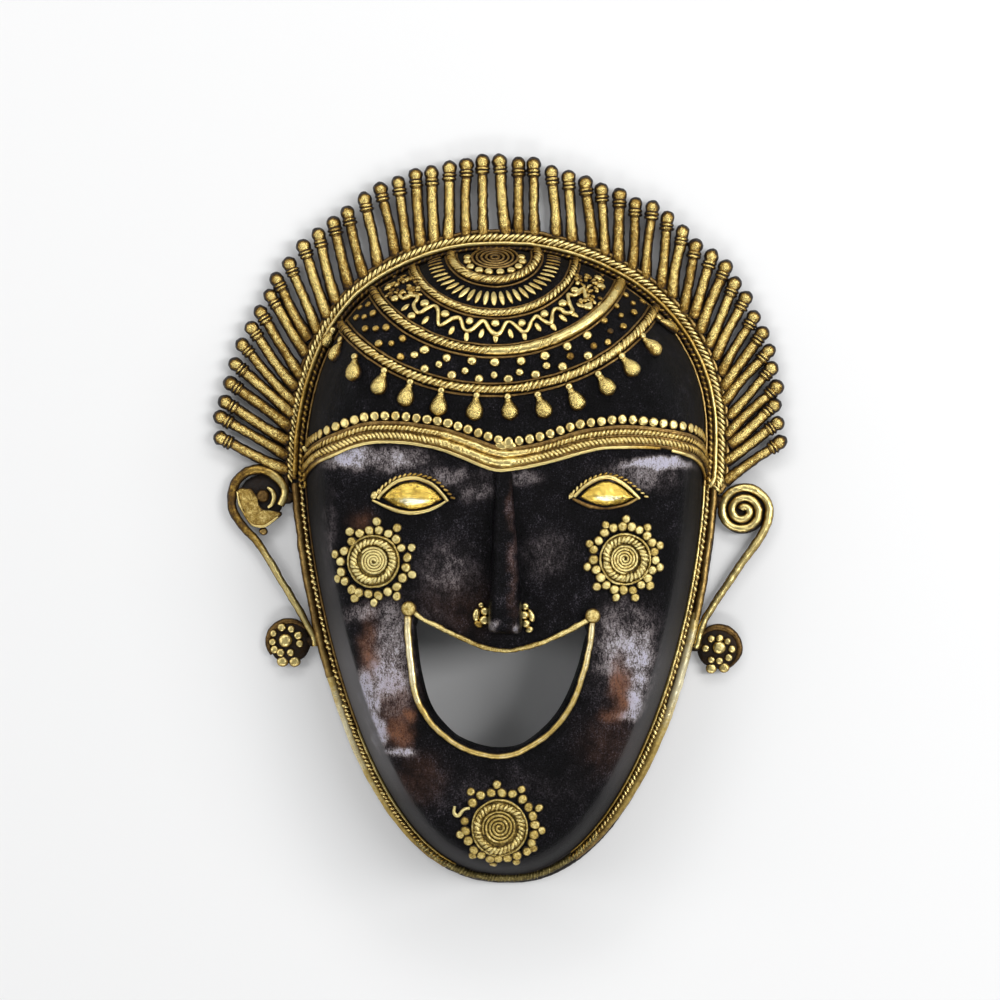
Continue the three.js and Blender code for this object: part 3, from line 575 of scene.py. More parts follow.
def upright(tree):
    """Turns a shape's Z to the marked 'up' and its X to the marked 'along'."""
    return add_node(tree, "FunctionNodeAxesToRotation",
                    {"Primary Axis": read_mark(tree, "up", "FLOAT_VECTOR"),
                     "Secondary Axis": read_mark(tree, "along", "FLOAT_VECTOR")}, primary_axis="Z",
                    secondary_axis="X").outputs[0]


def rolled_out(tree, line, thick, sides):
    """A capped round tube of changing thickness along a curve."""
    line = add_node(tree, "GeometryNodeSetCurveRadius", {"Curve": line, "Radius": thick}).outputs[0]
    outline = add_node(tree, "GeometryNodeCurvePrimitiveCircle",
                       {"Resolution": sides, "Radius": 1.0}).outputs[0]
    return add_node(tree, "GeometryNodeCurveToMesh", {"Curve": line, "Profile Curve": outline, "Scale": thick,
                                                      "Fill Caps": True}).outputs[0]


# Tree 1: a wax thread of changing thickness rolled out along a path.
thread_tree, given = start_tree("rolled_thread", {"Sides": "Int", "Finish": "Material"})
line = add_node(thread_tree, "GeometryNodeMeshToCurve", {"Mesh": given["Geometry"]}).outputs[0]
tube = rolled_out(thread_tree, line, read_mark(thread_tree, "thick"), given["Sides"])
end_tree(thread_tree, tube, given["Finish"])

# Tree 2: the slanted strands of a twisted rope, laid one after another over a path.
rope_tree, given = start_tree("twisted_rope", {"Spacing": "Float", "Lay": "Float", "Rope Radius": "Float",
                                               "Strand Radius": "Float", "Wrap": "Float",
                                               "Unevenness": "Float", "Seed": "Int", "Finish": "Material"})
line = add_node(rope_tree, "GeometryNodeMeshToCurve", {"Mesh": given["Geometry"]}).outputs[0]
line = add_node(rope_tree, "GeometryNodeResampleCurve", {"Curve": line, "Length": given["Spacing"]},
                mode="LENGTH").outputs[0]
strand = add_node(rope_tree, "GeometryNodeCurvePrimitiveLine", {"End": (1, 0, 0)}).outputs[0]
strand = add_node(rope_tree, "GeometryNodeResampleCurve", {"Curve": strand, "Count": 8},
                  mode="COUNT").outputs[0]
along = add_node(rope_tree, "GeometryNodeSplineParameter").outputs["Factor"]
half = reckon(rope_tree, "SUBTRACT", along, 0.5)
angle = times(rope_tree, half, given["Wrap"])
bent = add_node(rope_tree, "ShaderNodeCombineXYZ", {
    0: times(rope_tree, half, given["Lay"]),
    1: times(rope_tree, reckon(rope_tree, "SINE", angle), given["Rope Radius"]),
    2: times(rope_tree, reckon(rope_tree, "COSINE", angle), given["Rope Radius"])}).outputs[0]
strand = add_node(rope_tree, "GeometryNodeSetPosition", {"Geometry": strand, "Position": bent}).outputs[0]
from_middle = times(rope_tree, half, 2.0)
taper = reckon(rope_tree, "MULTIPLY_ADD", times(rope_tree, from_middle, from_middle), -0.45, 1.0)
strand = rolled_out(rope_tree, strand, times(rope_tree, taper, given["Strand Radius"]), 6)
smallest, largest = [reckon(rope_tree, "MULTIPLY_ADD", given["Unevenness"], way, 1.0) for way in (-1.0, 1.0)]
size = add_node(rope_tree, "FunctionNodeRandomValue",
                {"Min": smallest, "Max": largest, "Seed": given["Seed"]}, data_type="FLOAT_VECTOR")
size = add_node(rope_tree, "ShaderNodeVectorMath", {0: size.outputs[0],
                                                    "Scale": read_mark(rope_tree, "thick")},
                operation="SCALE").outputs[0]
laid = add_node(rope_tree, "GeometryNodeInstanceOnPoints",
                {"Points": line, "Instance": strand, "Rotation": upright(rope_tree), "Scale": size})
end_tree(rope_tree, laid.outputs[0], given["Finish"])

# Tree 3: wax granules pressed on at marked places, with their tops rubbed a little flat.
granule_tree, given = start_tree("wax_granules", {"Fineness": "Int", "Rubbed Top": "Float",
                                                  "Finish": "Material"})
ball = add_node(granule_tree, "GeometryNodeMeshIcoSphere",
                {"Radius": 1.0, "Subdivisions": given["Fineness"]}).outputs[0]
spot = add_node(granule_tree, "ShaderNodeSeparateXYZ",
                {0: add_node(granule_tree, "GeometryNodeInputPosition").outputs[0]}).outputs
over = reckon(granule_tree, "MAXIMUM", reckon(granule_tree, "SUBTRACT", spot[2], given["Rubbed Top"]), 0.0)
down = add_node(granule_tree, "ShaderNodeCombineXYZ", {2: times(granule_tree, over, -0.75)}).outputs[0]
ball = add_node(granule_tree, "GeometryNodeSetPosition", {"Geometry": ball, "Offset": down}).outputs[0]
laid = add_node(granule_tree, "GeometryNodeInstanceOnPoints", {
    "Points": given["Geometry"], "Instance": ball, "Rotation": upright(granule_tree),
    "Scale": read_mark(granule_tree, "size", "FLOAT_VECTOR")})
end_tree(granule_tree, laid.outputs[0], given["Finish"])


def cast_with(tree, piece, **sizes):
    """Runs a tree on a piece and keeps the result as a plain mesh."""
    modifier = piece.modifiers.new(tree.name, "NODES")
    modifier.node_group = tree
    for socket in tree.interface.items_tree:
        label = socket.name.replace(" ", "_").lower()
        if socket.in_out == "INPUT" and label in sizes:
            modifier[socket.identifier] = sizes[label]
    depsgraph = bpy.context.evaluated_depsgraph_get()
    shape = bpy.data.meshes.new_from_object(piece.evaluated_get(depsgraph))
    shape.materials.clear()
    shape.materials.append(sizes["finish"])
    piece.modifiers.clear()
    piece.data = shape
    return piece


def read_back(piece, name, width=1):
    """A stored value or direction of every vertex."""
    stored_mark = piece.data.attributes.get(name)
    flat = np.zeros(len(piece.data.vertices) * width, np.float32)
    stored_mark.data.foreach_get("value" if width == 1 else "vector", flat)
    return flat.astype(float) if width == 1 else flat.reshape(-1, width).astype(float)


def hand_rub(piece, low=0.0, high=0.85, rough=0.0, lump=1.6):
    """Polish on what stands up and faces out, and dark patina in the hollows and down the sides."""
    facing = facing_of(piece)
    if rough:
        at = points_of(piece)
        bumps = lumps(*at.T, lump, 21) + 0.5 * lumps(*at.T, lump / 2.3, 22)
        moved = (at + facing * (rough * bumps)[:, None]) * MM
        piece.data.vertices.foreach_set("co", moved.astype(np.float32).ravel())
    out = (facing * read_back(piece, "up", 3)).sum(1)
    rub = np.clip((out - low) / (high - low), 0, 1)
    mark(piece, "rub", np.clip(rub * rub * (3 - 2 * rub) * read_back(piece, "shine"), 0, 1))
    for name in ("up", "along", "thick", "shine", "size"):
        if piece.data.attributes.get(name):
            piece.data.attributes.remove(piece.data.attributes[name])
    part_of_casting(piece)


def run_of(places, thick, lift=0.0, shine=1.0, closed=False, step=0.8, up=None, wander=0.06, sway=0.0,
           seed=1):
    """A path in mm over the front, or through the air where the places have a height of their own."""
    line = smooth_line(places, step, closed) if step else np.asarray(places, float)
    share = np.linspace(0, 1, len(line))
    thick, shine, lift = [read_along(values, share) for values in (thick, shine, lift)]
    flat = line.shape[1] == 2
    if up is None:
        up = skin_facing(line[:, 0], line[:, 1]) if flat else np.tile((0.0, 0.0, 1.0), (len(line), 1))
    line = (on_skin(line) if flat else line) + up * lift[:, None]
    along = np.gradient(line, axis=0)
    if closed:
        along = np.roll(line, -1, 0) - np.roll(line, 1, 0)
    along /= np.linalg.norm(along, axis=1, keepdims=True) + 1e-12
    if sway:
        across = np.cross(up, along)
        line = line + across * (sway * lumps(line[:, 0], line[:, 1], line[:, 2], 4, seed + 7))[:, None]
    thick = thick * (1 + wander * lumps(line[:, 0], line[:, 1], line[:, 2], 2.2, seed))
    return {"line": line, "thick": thick, "up": up, "along": along, "shine": shine, "closed": closed}


def paths_piece(name, runs, in_mm=True):
    """One mesh of bare paths, with what the trees read marked on them."""
    edges, count = [], 0
    for run in runs:
        n = len(run["line"])
        edges += [(count + k, count + k + 1) for k in range(n - 1)]
        if run["closed"]:
            edges.append((count + n - 1, count))
        count += n
    piece = mesh_piece(name, np.concatenate([run["line"] for run in runs]), [], edges)
    for key in ("up", "along", "shine"):
        mark(piece, key, np.concatenate([run[key] for run in runs]))
    mark(piece, "thick", np.concatenate([run["thick"] for run in runs]) * (MM if in_mm else 1))
    return piece


def threads(name, runs, finish, sides=10, **rub):
    piece = cast_with(thread_tree, paths_piece(name, runs), sides=sides, finish=finish)
    hand_rub(piece, **rub)


def rope(name, runs, finish, spacing, lay, radius, strand, wrap=2.7, uneven=0.08, seed=1, **rub):
    """A rope of slanted strands. Lay is how far one strand runs along the rope as it crosses over it."""
    piece = cast_with(rope_tree, paths_piece(name, runs, in_mm=False), spacing=spacing * MM, lay=lay * MM,
                      rope_radius=radius * MM, strand_radius=strand * MM, wrap=wrap, unevenness=uneven,
                      seed=seed, finish=finish)
    hand_rub(piece, **rub)


def granules(name, marks, finish, fineness=2, rubbed_top=0.8, **rub):
    """marks: rows of x, y, size along, size across, size up, turn in degrees, lift, shine, all in mm."""
    marks = np.array(marks, float)
    up = skin_facing(marks[:, 0], marks[:, 1])
    turn = np.radians(marks[:, 5])
    along = np.column_stack([np.cos(turn), np.sin(turn), 0 * turn])
    along -= up * (up * along).sum(1)[:, None]
    places = on_skin(marks[:, :2]) + up * marks[:, 6:7]
    granules_at(name, places, up, along, marks[:, 2:5], marks[:, 7], finish, fineness, rubbed_top, **rub)


def granules_at(name, places, up, along, sizes, shine, finish, fineness=2, rubbed_top=0.8, **rub):
    piece = mesh_piece(name, places, [])
    for key, values in (("up", up), ("along", along), ("shine", shine), ("size", np.asarray(sizes) * MM)):
        mark(piece, key, values)
    cast_with(granule_tree, piece, fineness=fineness, rubbed_top=rubbed_top, finish=finish)
    hand_rub(piece, **rub)


def rubbed_brass(name, stops, rough=(0.55, 0.3), grain=0.55, pitted=0.35, metallic=1.0):
    """Brass with dark hollows and rubbed tops; the stored rub says how far each place is polished."""
    finish, tree, metal = new_finish(name)
    rub = stored(tree, "rub")
    fleck, cloud = grain_of(tree, 0.5, 3, rough=0.65), grain_of(tree, 4.0, 2)
    spots = grain_of(tree, 1.3, 2)
    shown = sum_of(tree, rub, (fleck, grain), (spots, grain * 0.9), (cloud, 0.4), (1.0, -grain * 0.95 - 0.2))
    tree.links.new(ramp_of(tree, shown, stops), metal.inputs["Base Color"])
    tree.links.new(spread(tree, shown, 0.1, 0.5, 0.35, metallic), metal.inputs["Metallic"])
    tree.links.new(spread(tree, shown, 0.2, 0.9, *rough), metal.inputs["Roughness"])
    pits = sum_of(tree, fleck, (spots, 1.0))
    dent = add_node(tree, "ShaderNodeBump", {"Height": pits, "Strength": pitted, "Distance": 0.0003})
    tree.links.new(dent.outputs[0], metal.inputs["Normal"])
    return finish


# Polished brass whose palest colour, near white, is a painted highlight.
edge_brass = rubbed_brass("edge_brass", [(0.1, (0.03, 0.016, 0.006)), (0.4, (0.20, 0.12, 0.03)),
                                         (0.65, (0.62, 0.44, 0.12)), (0.95, (1.0, 0.90, 0.58))], (0.5, 0.24),
                          0.3, 0.25, 0.6)
bright_brass = rubbed_brass("bright_brass", [(0.1, (0.012, 0.007, 0.003)), (0.38, (0.13, 0.068, 0.014)),
                                             (0.62, (0.49, 0.31, 0.07)), (0.95, (0.88, 0.71, 0.29))],
                            (0.5, 0.28))
brown_brass = rubbed_brass("brown_brass", [(0.1, (0.010, 0.006, 0.004)), (0.4, (0.055, 0.029, 0.012)),
                                           (0.75, (0.22, 0.13, 0.043)), (1.0, (0.45, 0.30, 0.10))],
                           (0.6, 0.36))


def along_rim(first, last, offset, height, step=0.8):
    """Places beside the foot of the wall, offset outward, from one turn to another."""
    turns = np.linspace(first, last, 2400)
    fx, fy = foot_of_wall(turns)
    tx, ty = np.gradient(fx), np.gradient(fy)
    size = np.hypot(tx, ty)
    way = 1 if last > first else -1
    share = np.linspace(0, 1, len(turns))
    offset, height = read_along(offset, share), read_along(height, share)
    nx, ny = way * ty / size, -way * tx / size
    line = np.column_stack([fx + nx * offset, fy + ny * offset, height])
    gone = walked_along(line)
    at = np.linspace(0, gone[-1], int(gone[-1] / step))
    return np.stack([np.interp(at, gone, line[:, k]) for k in range(3)], 1)


def rim_run(first, last, offset, height, thick, shine, **more):
    """A thread on the rim. Each size is one value or a row of values from the first turn to the last."""
    return run_of(along_rim(first, last, offset, height), thick, shine=shine, step=0, **more)


def at_height(line, height):
    return np.column_stack([line, np.full(len(line), height)])


def face_up(piece, shine):
    """Marks a whole piece as facing up, with one polish all over."""
    count = len(piece.data.vertices)
    mark(piece, "up", np.tile((0.0, 0.0, 1.0), (count, 1)))
    mark(piece, "shine", np.full(count, shine))


BAND_POINTS = 720
BAND_SECTION = [(-0.08, 4.3), (0.12, 3.5), (0.5, 3.0), (0.86, 2.6), (1.0, 1.7), (0.98, 0.15), (0.5, 0.15),
                (-0.08, 0.15)]
band_turns = even_turn(np.linspace(0, 360, BAND_POINTS, endpoint=False))
band_width = np.interp(band_turns, [0, 20, 90, 160, 180, 184, 270, 356, 360],
                       [8.2, 8.0, 7.2, 7.2, 7.3, 5.4, 3.3, 5.4, 8.2])
band_width = band_width + np.interp(band_turns, [0, 180, 205, 225, 245, 270, 295, 320, 345, 360],
                                    [0, 0, 0.2, 0.5, 0.1, 0, 1.2, 1.35, 0.6, 0])
fx, fy = foot_of_wall(band_turns)
tx, ty = np.roll(fx, -1) - np.roll(fx, 1), np.roll(fy, -1) - np.roll(fy, 1)
size = np.hypot(tx, ty)
rows = [at_height(np.column_stack([fx + ty / size * band_width * out, fy - tx / size * band_width * out]), up)
        for out, up in BAND_SECTION]
band = mesh_piece("rim_band", np.concatenate(rows), ring_faces(len(rows), BAND_POINTS, closed=True))
band.data.materials.append(brown_brass)
smooth(band)
face_up(band, 0.5)
hand_rub(band, rough=0.12)

bright = [rim_run(180.6, -0.6, [4.0, 3.6, 2.6, 3.4, 3.9], [4.1, 4.4, 4.6, 4.4, 4.2],
                  [1.05, 0.95, 0.85, 0.9, 0.95], [0.5, 0.6, 1.0, 1.0, 1.0, 0.75, 0.55, 0.8, 1.0], sway=0.15),
          rim_run(225, 258, [0.7, 0.8, 0.6], [4.0, 3.9, 3.8], [0.7, 0.7, 0.4], [0.9, 1.0, 0.5], seed=12),
          rim_run(287, 358, [0.5, 0.7, 0.5], [3.8, 4.0, 4.1], [0.4, 0.85, 0.7], [0.5, 0.85, 0.9], seed=14)]
brown = [rim_run(183, -3, [7.0, 7.0, 6.9, 7.5, 8.0], [2.9, 3.3, 3.4, 3.3, 3.0], [0.95, 0.85, 0.8, 0.95, 0.95],
                 [0.4, 0.7, 0.8, 0.95, 1.1], sway=0.2, seed=3),
         rim_run(183, 100, [0.5, 0.3, -0.5], [4.2, 4.4, 4.6], [0.6, 0.55, 0.3], [0.8, 0.7, 0.4], seed=4),
         rim_run(80, -3, [-0.5, 0.3, 0.6], [4.6, 4.4, 4.2], [0.3, 0.6, 0.65], [0.4, 0.9, 1.2], seed=5),
         rim_run(182, 216, [3.9, 3.9, 4.0], [3.5, 3.4, 3.1], [1.5, 1.55, 1.5], [0.7, 0.9, 0.8, 1.1],
                 sway=0.2, seed=6),
         rim_run(333, 358, [4.3, 4.0, 3.9], [3.2, 3.3, 3.5], [1.5, 1.4, 1.4], [1.1, 1.0, 0.9],
                 sway=0.2, seed=10),
         rim_run(182, 225, [0.2, 0.3, 0.4], [4.1, 4.1, 4.0], [0.45, 0.6, 0.7], [0.4, 0.7, 0.9], seed=11)]
# The polished outer bands down both jaws. Where their shine rises the colour goes near white: a painted
# highlight on real polish.
edges = [rim_run(215, 256, [3.85, 3.8, 3.3, 2.8], [3.0, 2.9, 2.8, 2.7], [1.4, 1.35, 1.2, 0.9],
                 [0.66, 0.92, 0.72, 0.6, 0.35], sway=0.1, seed=7),
         rim_run(287, 334, [3.0, 3.95, 4.3, 4.1], [2.7, 2.8, 2.9, 3.0], [0.9, 1.4, 1.6, 1.6],
                 [0.35, 0.52, 0.58, 1.0, 0.66], sway=0.1, seed=9)]
threads("rim_plain_threads", bright, bright_brass, rough=0.07, low=-0.2, high=0.75)
threads("rim_polished_edges", edges, edge_brass, sides=14, rough=0.06, low=-0.5, high=0.6)
threads("rim_brown_threads", brown, brown_brass, rough=0.12, lump=1.3)


def cores_of(runs, thick, shine=0.8):
    """The threads that ropes are wound over: the ropes' own paths at another thickness and polish."""
    return [dict(run, thick=run["thick"] * thick, shine=run["shine"] * shine) for run in runs]


rope_run = rim_run(180.2, -0.8, [5.7, 5.4, 4.7, 5.4, 6.0], [3.3, 3.6, 3.8, 3.6, 3.4],
                   [0.9, 1.03, 1.15, 1.1, 1.12], [0.85, 1.0, 1.0, 1.0, 1.0, 1.0, 0.9, 0.95, 1.0])
rope("rim_rope", [rope_run], bright_brass, spacing=1.9, lay=3.4, radius=1.15, strand=0.64, wrap=2.5,
     uneven=0.14, seed=2, rough=0.09)
threads("rim_rope_core", cores_of([rope_run], 1.15, 1.0), brown_brass, low=-0.5, high=0.8)
braid = [rim_run(183, -3, [2.1, 1.9, 0.9, 1.9, 2.1], [4.0, 4.1, 4.4, 4.1, 4.0], [1.0, 0.9, 0.7, 0.9, 1.0],
                 [0.6, 0.5, 0.35, 0.35, 0.4, 0.45, 0.45, 0.6, 0.75]),
         rim_run(183, 221, [1.75, 1.75, 1.7], [3.8, 3.7, 3.6], [0.95, 1.0, 0.95], [0.9, 1.0, 0.75]),
         rim_run(319, 357, [1.75, 1.75, 1.75], [3.6, 3.7, 3.8], [0.95, 1.0, 1.0], [0.8, 1.0, 1.0])]
rope("rim_braid", braid, bright_brass, spacing=2.1, lay=1.5, radius=0.75, strand=0.66, wrap=2.0, uneven=0.2,
     seed=3, rough=0.1)
threads("rim_braid_cores", cores_of(braid, 0.85), brown_brass)
fine = [rim_run(221, 256, [2.05, 2.15, 1.8], [3.8, 3.7, 3.5], [1.0, 1.0, 0.8], [0.9, 0.9, 0.8, 0.4]),
        rim_run(286, 319, [1.7, 2.1, 2.2], [3.6, 3.8, 3.9], [0.8, 1.0, 1.0], [0.5, 0.9, 1.0, 1.0])]
rope("rim_fine_braid", fine, bright_brass, spacing=1.55, lay=1.3, radius=0.85, strand=0.58, wrap=2.2,
     uneven=0.2, seed=4, low=-0.2, high=0.75)
threads("rim_fine_cores", cores_of(fine, 0.85), brown_brass, low=-0.5, high=0.7)
chin = [rim_run(248, 294, [2.15, 1.5, 2.15], [3.0, 3.0, 3.0], [0.85, 0.85, 0.85], [0.9, 0.72, 0.72, 0.9])]
olive_brass = rubbed_brass("olive_brass", [(0.1, (0.014, 0.010, 0.005)), (0.4, (0.08, 0.06, 0.02)),
                                           (0.7, (0.22, 0.17, 0.055)), (1.0, (0.55, 0.46, 0.19))],
                           (0.55, 0.4), 0.9, 0.6, 0.8)
rope("rim_chin_rope", chin, olive_brass, spacing=1.1, lay=1.0, radius=1.45, strand=0.36, wrap=2.3,
     uneven=0.25, seed=5, rough=0.14, low=-0.8, high=0.7)
threads("rim_chin_core", cores_of(chin, 1.6), olive_brass, rough=0.2, low=-0.3, high=0.9)

# The crest: 48 rods rolled from wax and stuck into the rim like a fan, each with two collar rings and a ball
# on its end, cast in one with the rest. They were set by eye, so no two lie quite alike.
CAMERA_HEIGHT, PIXEL, PHOTO_MIDDLE, MIDDLE_X, MIDDLE_Y = 1100, 0.35, 500, 0.175, 6.475


def read_off(px, py, height):
    """From pixels that were read off the photo to mm, at this height above the back."""
    nearer = (CAMERA_HEIGHT - height) / CAMERA_HEIGHT
    return (round((px - PHOTO_MIDDLE) * PIXEL * nearer + MIDDLE_X, 1),
            round((PHOTO_MIDDLE - py) * PIXEL * nearer + MIDDLE_Y, 1))


# Each row is the middle of one rod's ball and the place where the rod leaves the rim, in the photo's pixels.
# The two topmost balls are set a shade lower than they were read, and the last one nearer the face, so that
# the crest stays inside the size of the CAD.
CREST = [(220, 438, 280, 467), (220, 417, 280, 452), (225, 402, 281, 437), (230, 383, 284, 423),
         (235, 364, 287, 410), (242, 345, 290, 398), (251, 328, 291, 382), (260, 312, 297, 370),
         (270, 296, 302, 348), (276, 279, 305, 332), (289, 264, 314, 325), (303, 246, 325, 310),
         (318, 235, 334, 295), (333, 223, 347, 280), (347, 213, 362, 270), (364, 199, 376, 258),
         (380, 189, 393, 247), (398, 183, 406, 245), (415, 175, 420, 240), (431, 173, 434, 236),
         (449, 168, 448, 232), (466, 165, 466, 228), (482, 161.5, 483, 228), (499, 161.2, 505, 226),
         (518, 164, 518, 226), (533, 164, 534, 228), (551, 172, 555, 228), (568, 177, 571, 234),
         (585, 183, 591, 240), (601, 190, 604, 247), (619, 195, 618, 254), (635, 204, 632, 262),
         (652, 207, 646, 271), (667, 218, 661, 280), (682, 232, 673, 290), (695, 246, 684, 305),
         (711, 256, 695, 310), (725, 267, 702, 325), (734, 284, 710, 340), (745, 298, 718, 352),
         (753, 317, 724, 368), (762, 333, 727, 382), (768, 351, 728, 397), (771, 368, 733, 412),
         (776, 387, 731, 431), (774, 405, 735, 440), (777, 423, 731, 457), (781, 442, 731, 477)]
BALL, COLLAR, NECK, ROD = 2.6, 2.6, 1.9, 2.0
COLLAR_AT, HALF_COLLAR, GROOVE_AT = (2.45, 3.75), 0.62, (1.72, 3.1, 4.75)
HEAD_LENGTH, SUNK_IN_RIM, CREST_LEVEL, LAST_BALL_IN = 5.2, 3.0, 3.2, 0.55
hand = np.random.default_rng(48)
rods = []
for number, (ball_px, ball_py, toe_px, toe_py) in enumerate(CREST):
    head, toe = [np.array(read_off(*at, CREST_LEVEL)) for at in ((ball_px, ball_py), (toe_px, toe_py))]
    if number == len(CREST) - 1:
        head[0] -= LAST_BALL_IN
    way = (head - toe) / np.linalg.norm(head - toe)
    length = np.linalg.norm(head - toe) + SUNK_IN_RIM
    long_ball, wide_ball = BALL * hand.uniform(0.94, 1.06), BALL * hand.uniform(0.95, 1.04)
    near = np.concatenate([[0], long_ball * (1 - np.cos(np.linspace(0, np.pi * 0.82, 13)[1:]))])
    s = np.concatenate([near - long_ball, np.arange(near[-1] - long_ball + 0.14, HEAD_LENGTH, 0.17),
                        np.linspace(HEAD_LENGTH + 0.2, length, 17)])
    thick = np.full(len(s), ROD * hand.uniform(0.92, 1.05))
    thick = np.where(s < HEAD_LENGTH, thick * 0.98, thick)
    ball = wide_ball * np.sqrt(np.clip(1 - (s / long_ball) ** 2, 0.0004, 1))
    thick = np.where(s < long_ball * 0.72, ball, thick)
    thick = np.where((s > 1.2) & (s < 4.2), np.maximum(thick, 2.25), thick)
    for at in COLLAR_AT:
        collar = COLLAR * hand.uniform(0.96, 1.04)
        collar = NECK + (collar - NECK) * np.clip(1 - ((s - at) / HALF_COLLAR) ** 2, 0, 1) ** 0.4
        thick = np.where(abs(s - at) < HALF_COLLAR, np.maximum(collar, 2.1), thick)
    thick = thick * np.interp(s, [length - 9, length - 4, length], [1, 1.16, 1.2])
    side_way = np.array([-way[1], way[0]])
    bow = hand.uniform(-0.55, 0.55)
    bent = np.sin(np.clip((s - 5) / (length - 5), 0, 1) * np.pi) * bow
    line = head - way * s[:, None] + side_way * bent[:, None]
    height = np.interp(s, [-3, 5, length], [3.1, 3.3, 2.75]) + 0.25 * hand.uniform(-1, 1)
    shine = np.interp(s, [-3, 4.6, HEAD_LENGTH, length - 5, length - 1], [1.15, 1.15, 1.0, 1.0, 0.75])
    shine = shine * hand.uniform(0.78, 1.03)
    for groove in GROOVE_AT:
        shine = shine * (1 - 0.8 * np.exp(-((s - groove) / 0.2) ** 2))
    # Painted highlight: on the ball and collars the polish leans towards the rim, so their rim-side half
    # shows brighter.
    turned = np.interp(s, [-3, 4.4, HEAD_LENGTH], [0.2, 0.2, 0])
    facing = np.column_stack([-way[0] * turned, -way[1] * turned, np.ones(len(s))])
    facing /= np.linalg.norm(facing, axis=1, keepdims=True)
    rods.append(run_of(np.column_stack([line, height]), thick, shine=shine, step=0, up=facing, wander=0.035,
                       seed=number))
gold_rod = rubbed_brass("rod_brass", [(0.1, (0.007, 0.004, 0.003)), (0.4, (0.085, 0.042, 0.009)),
                                      (0.66, (0.30, 0.175, 0.036)), (1.0, (0.80, 0.62, 0.22))], (0.44, 0.22),
                        0.9, 0.9)
threads("crest_rods", rods, gold_rod, sides=14, low=0.45, high=0.98, rough=0.19, lump=1.3)

# The crown: rope rings laid in ovals over the top of the dome, round a boss of coiled thread and granules,
# with spindle petals, a looped cord, sprinkled granules and a fringe of fourteen hanging drops.
CROWN_X, CROWN_Y = -1.9, 90.9


def oval(cx, cy, rx, ry, tilt=0.0, first=150, last=390, count=300):
    """The lower part of an oval, from left to right, where it still lies on the front."""
    a = np.radians(np.linspace(first, last, count))
    px, py = rx * np.cos(a), ry * np.sin(a)
    px, py = cx + px * math.cos(tilt) - py * math.sin(tilt), cy + px * math.sin(tilt) + py * math.cos(tilt)
    inside = share_of_face(px, py)[0] < 0.998
    return np.column_stack([px, py])[inside]


# Each rope ring: its middle, half width, half height, tilt, spacing of strands, gap to the thin threads on
# both its sides, radius, and where along it and how far its strands are rubbed away.
CROWN_RINGS = [(-2.0, 14.9, 9.9, -0.03, 1.75, 1.85, 1.3, [0, 0.5, 0.62, 1], [0.45, 0.45, 0, 0]),
               (-2.3, 28.4, 21.3, -0.03, 1.75, 1.6, 1.0, [0, 0.66, 0.74, 1], [0.5, 0.5, 0, 0]),
               (-1.3, 44.9, 34.2, 0.03, 1.85, 2.1, 1.3, [0, 0.08, 0.42, 0.5, 1], [0.3, 0, 0.1, 0.8, 0.9]),
               (-1.8, 60.3, 47.3, 0.03, 1.85, 2.1, 1.3, [0, 0.5, 1], [0.15, 0.1, 0.45])]
fine_lines, cores = [], []
share = np.linspace(0, 1, 40)
for number, (cx, rx, ry, tilt, spacing, gap, radius, worn_at, worn) in enumerate(CROWN_RINGS):
    line = oval(cx, CROWN_Y, rx, ry, tilt)
    worn = np.interp(share, worn_at, worn)
    dull = np.interp(share, [0, 0.08, 0.92, 1], [0.55, 1, 1, 0.6])
    run = run_of(line, 1.0, lift=0.45, shine=dull, seed=30 + number)
    rope(f"crown_rope_{number + 1}", [run], bright_brass, spacing=spacing, lay=2.7, radius=radius,
         strand=0.62, wrap=2.3, seed=10 + number, uneven=0.16, rough=0.09)
    cores.append(run_of(line, radius * (1.0 + 0.42 * worn), lift=0.45, wander=0.1, seed=40 + number,
                        shine=0.7 + 0.3 * worn))
    for way in (-1, 1):
        beside = oval(cx, CROWN_Y, rx + way * gap, ry + way * gap, tilt)
        fine_lines.append(run_of(beside, 0.5, lift=0.25, shine=0.75, wander=0.15, sway=0.12,
                                 seed=50 + number))
for radius in (1.5, 3.1, 4.7, 6.3, 7.9):
    coil = oval(-1.75, 89.7, radius, radius * 0.5, 0, 0, 360, 90)
    fine_lines.append(run_of(coil, 0.55, lift=0.5, shine=0.9, wander=0.15, seed=60))
wave_cord = [(-34.2, 76.0), (-32.6, 75.0), (-30.4, 75.7), (-28.1, 75.1), (-29.2, 72.7), (-28.0, 70.0),
             (-26.5, 70.0), (-22.7, 72.3), (-21.0, 70.8), (-20.8, 65.7), (-18.9, 65.9), (-15.9, 67.8),
             (-13.6, 67.9), (-12.8, 64.9), (-11.4, 63.5), (-9.4, 64.0), (-6.4, 66.7), (-5.3, 66.7),
             (-3.4, 64.0), (-1.7, 62.7), (0.0, 63.0), (2.3, 66.6), (4.9, 65.9), (7.6, 63.1), (9.5, 63.7),
             (10.8, 67.2), (12.5, 68.7), (14.6, 67.2), (17.2, 66.3), (18.2, 70.3), (19.2, 71.1), (21.0, 70.9),
             (22.3, 69.8), (24.4, 70.2), (23.6, 72.9), (23.2, 76.0), (25.4, 76.0), (28.4, 78.3), (29.2, 74.7)]
threads("crown_cord", [run_of(wave_cord, 0.78, lift=0.45, wander=0.25, sway=0.35, seed=70, step=0.4)],
        bright_brass, rough=0.05)
threads("crown_fine_threads", fine_lines, brown_brass, sides=8)
threads("crown_rope_cores", cores, bright_brass, sides=12, rough=0.09, lump=1.0)

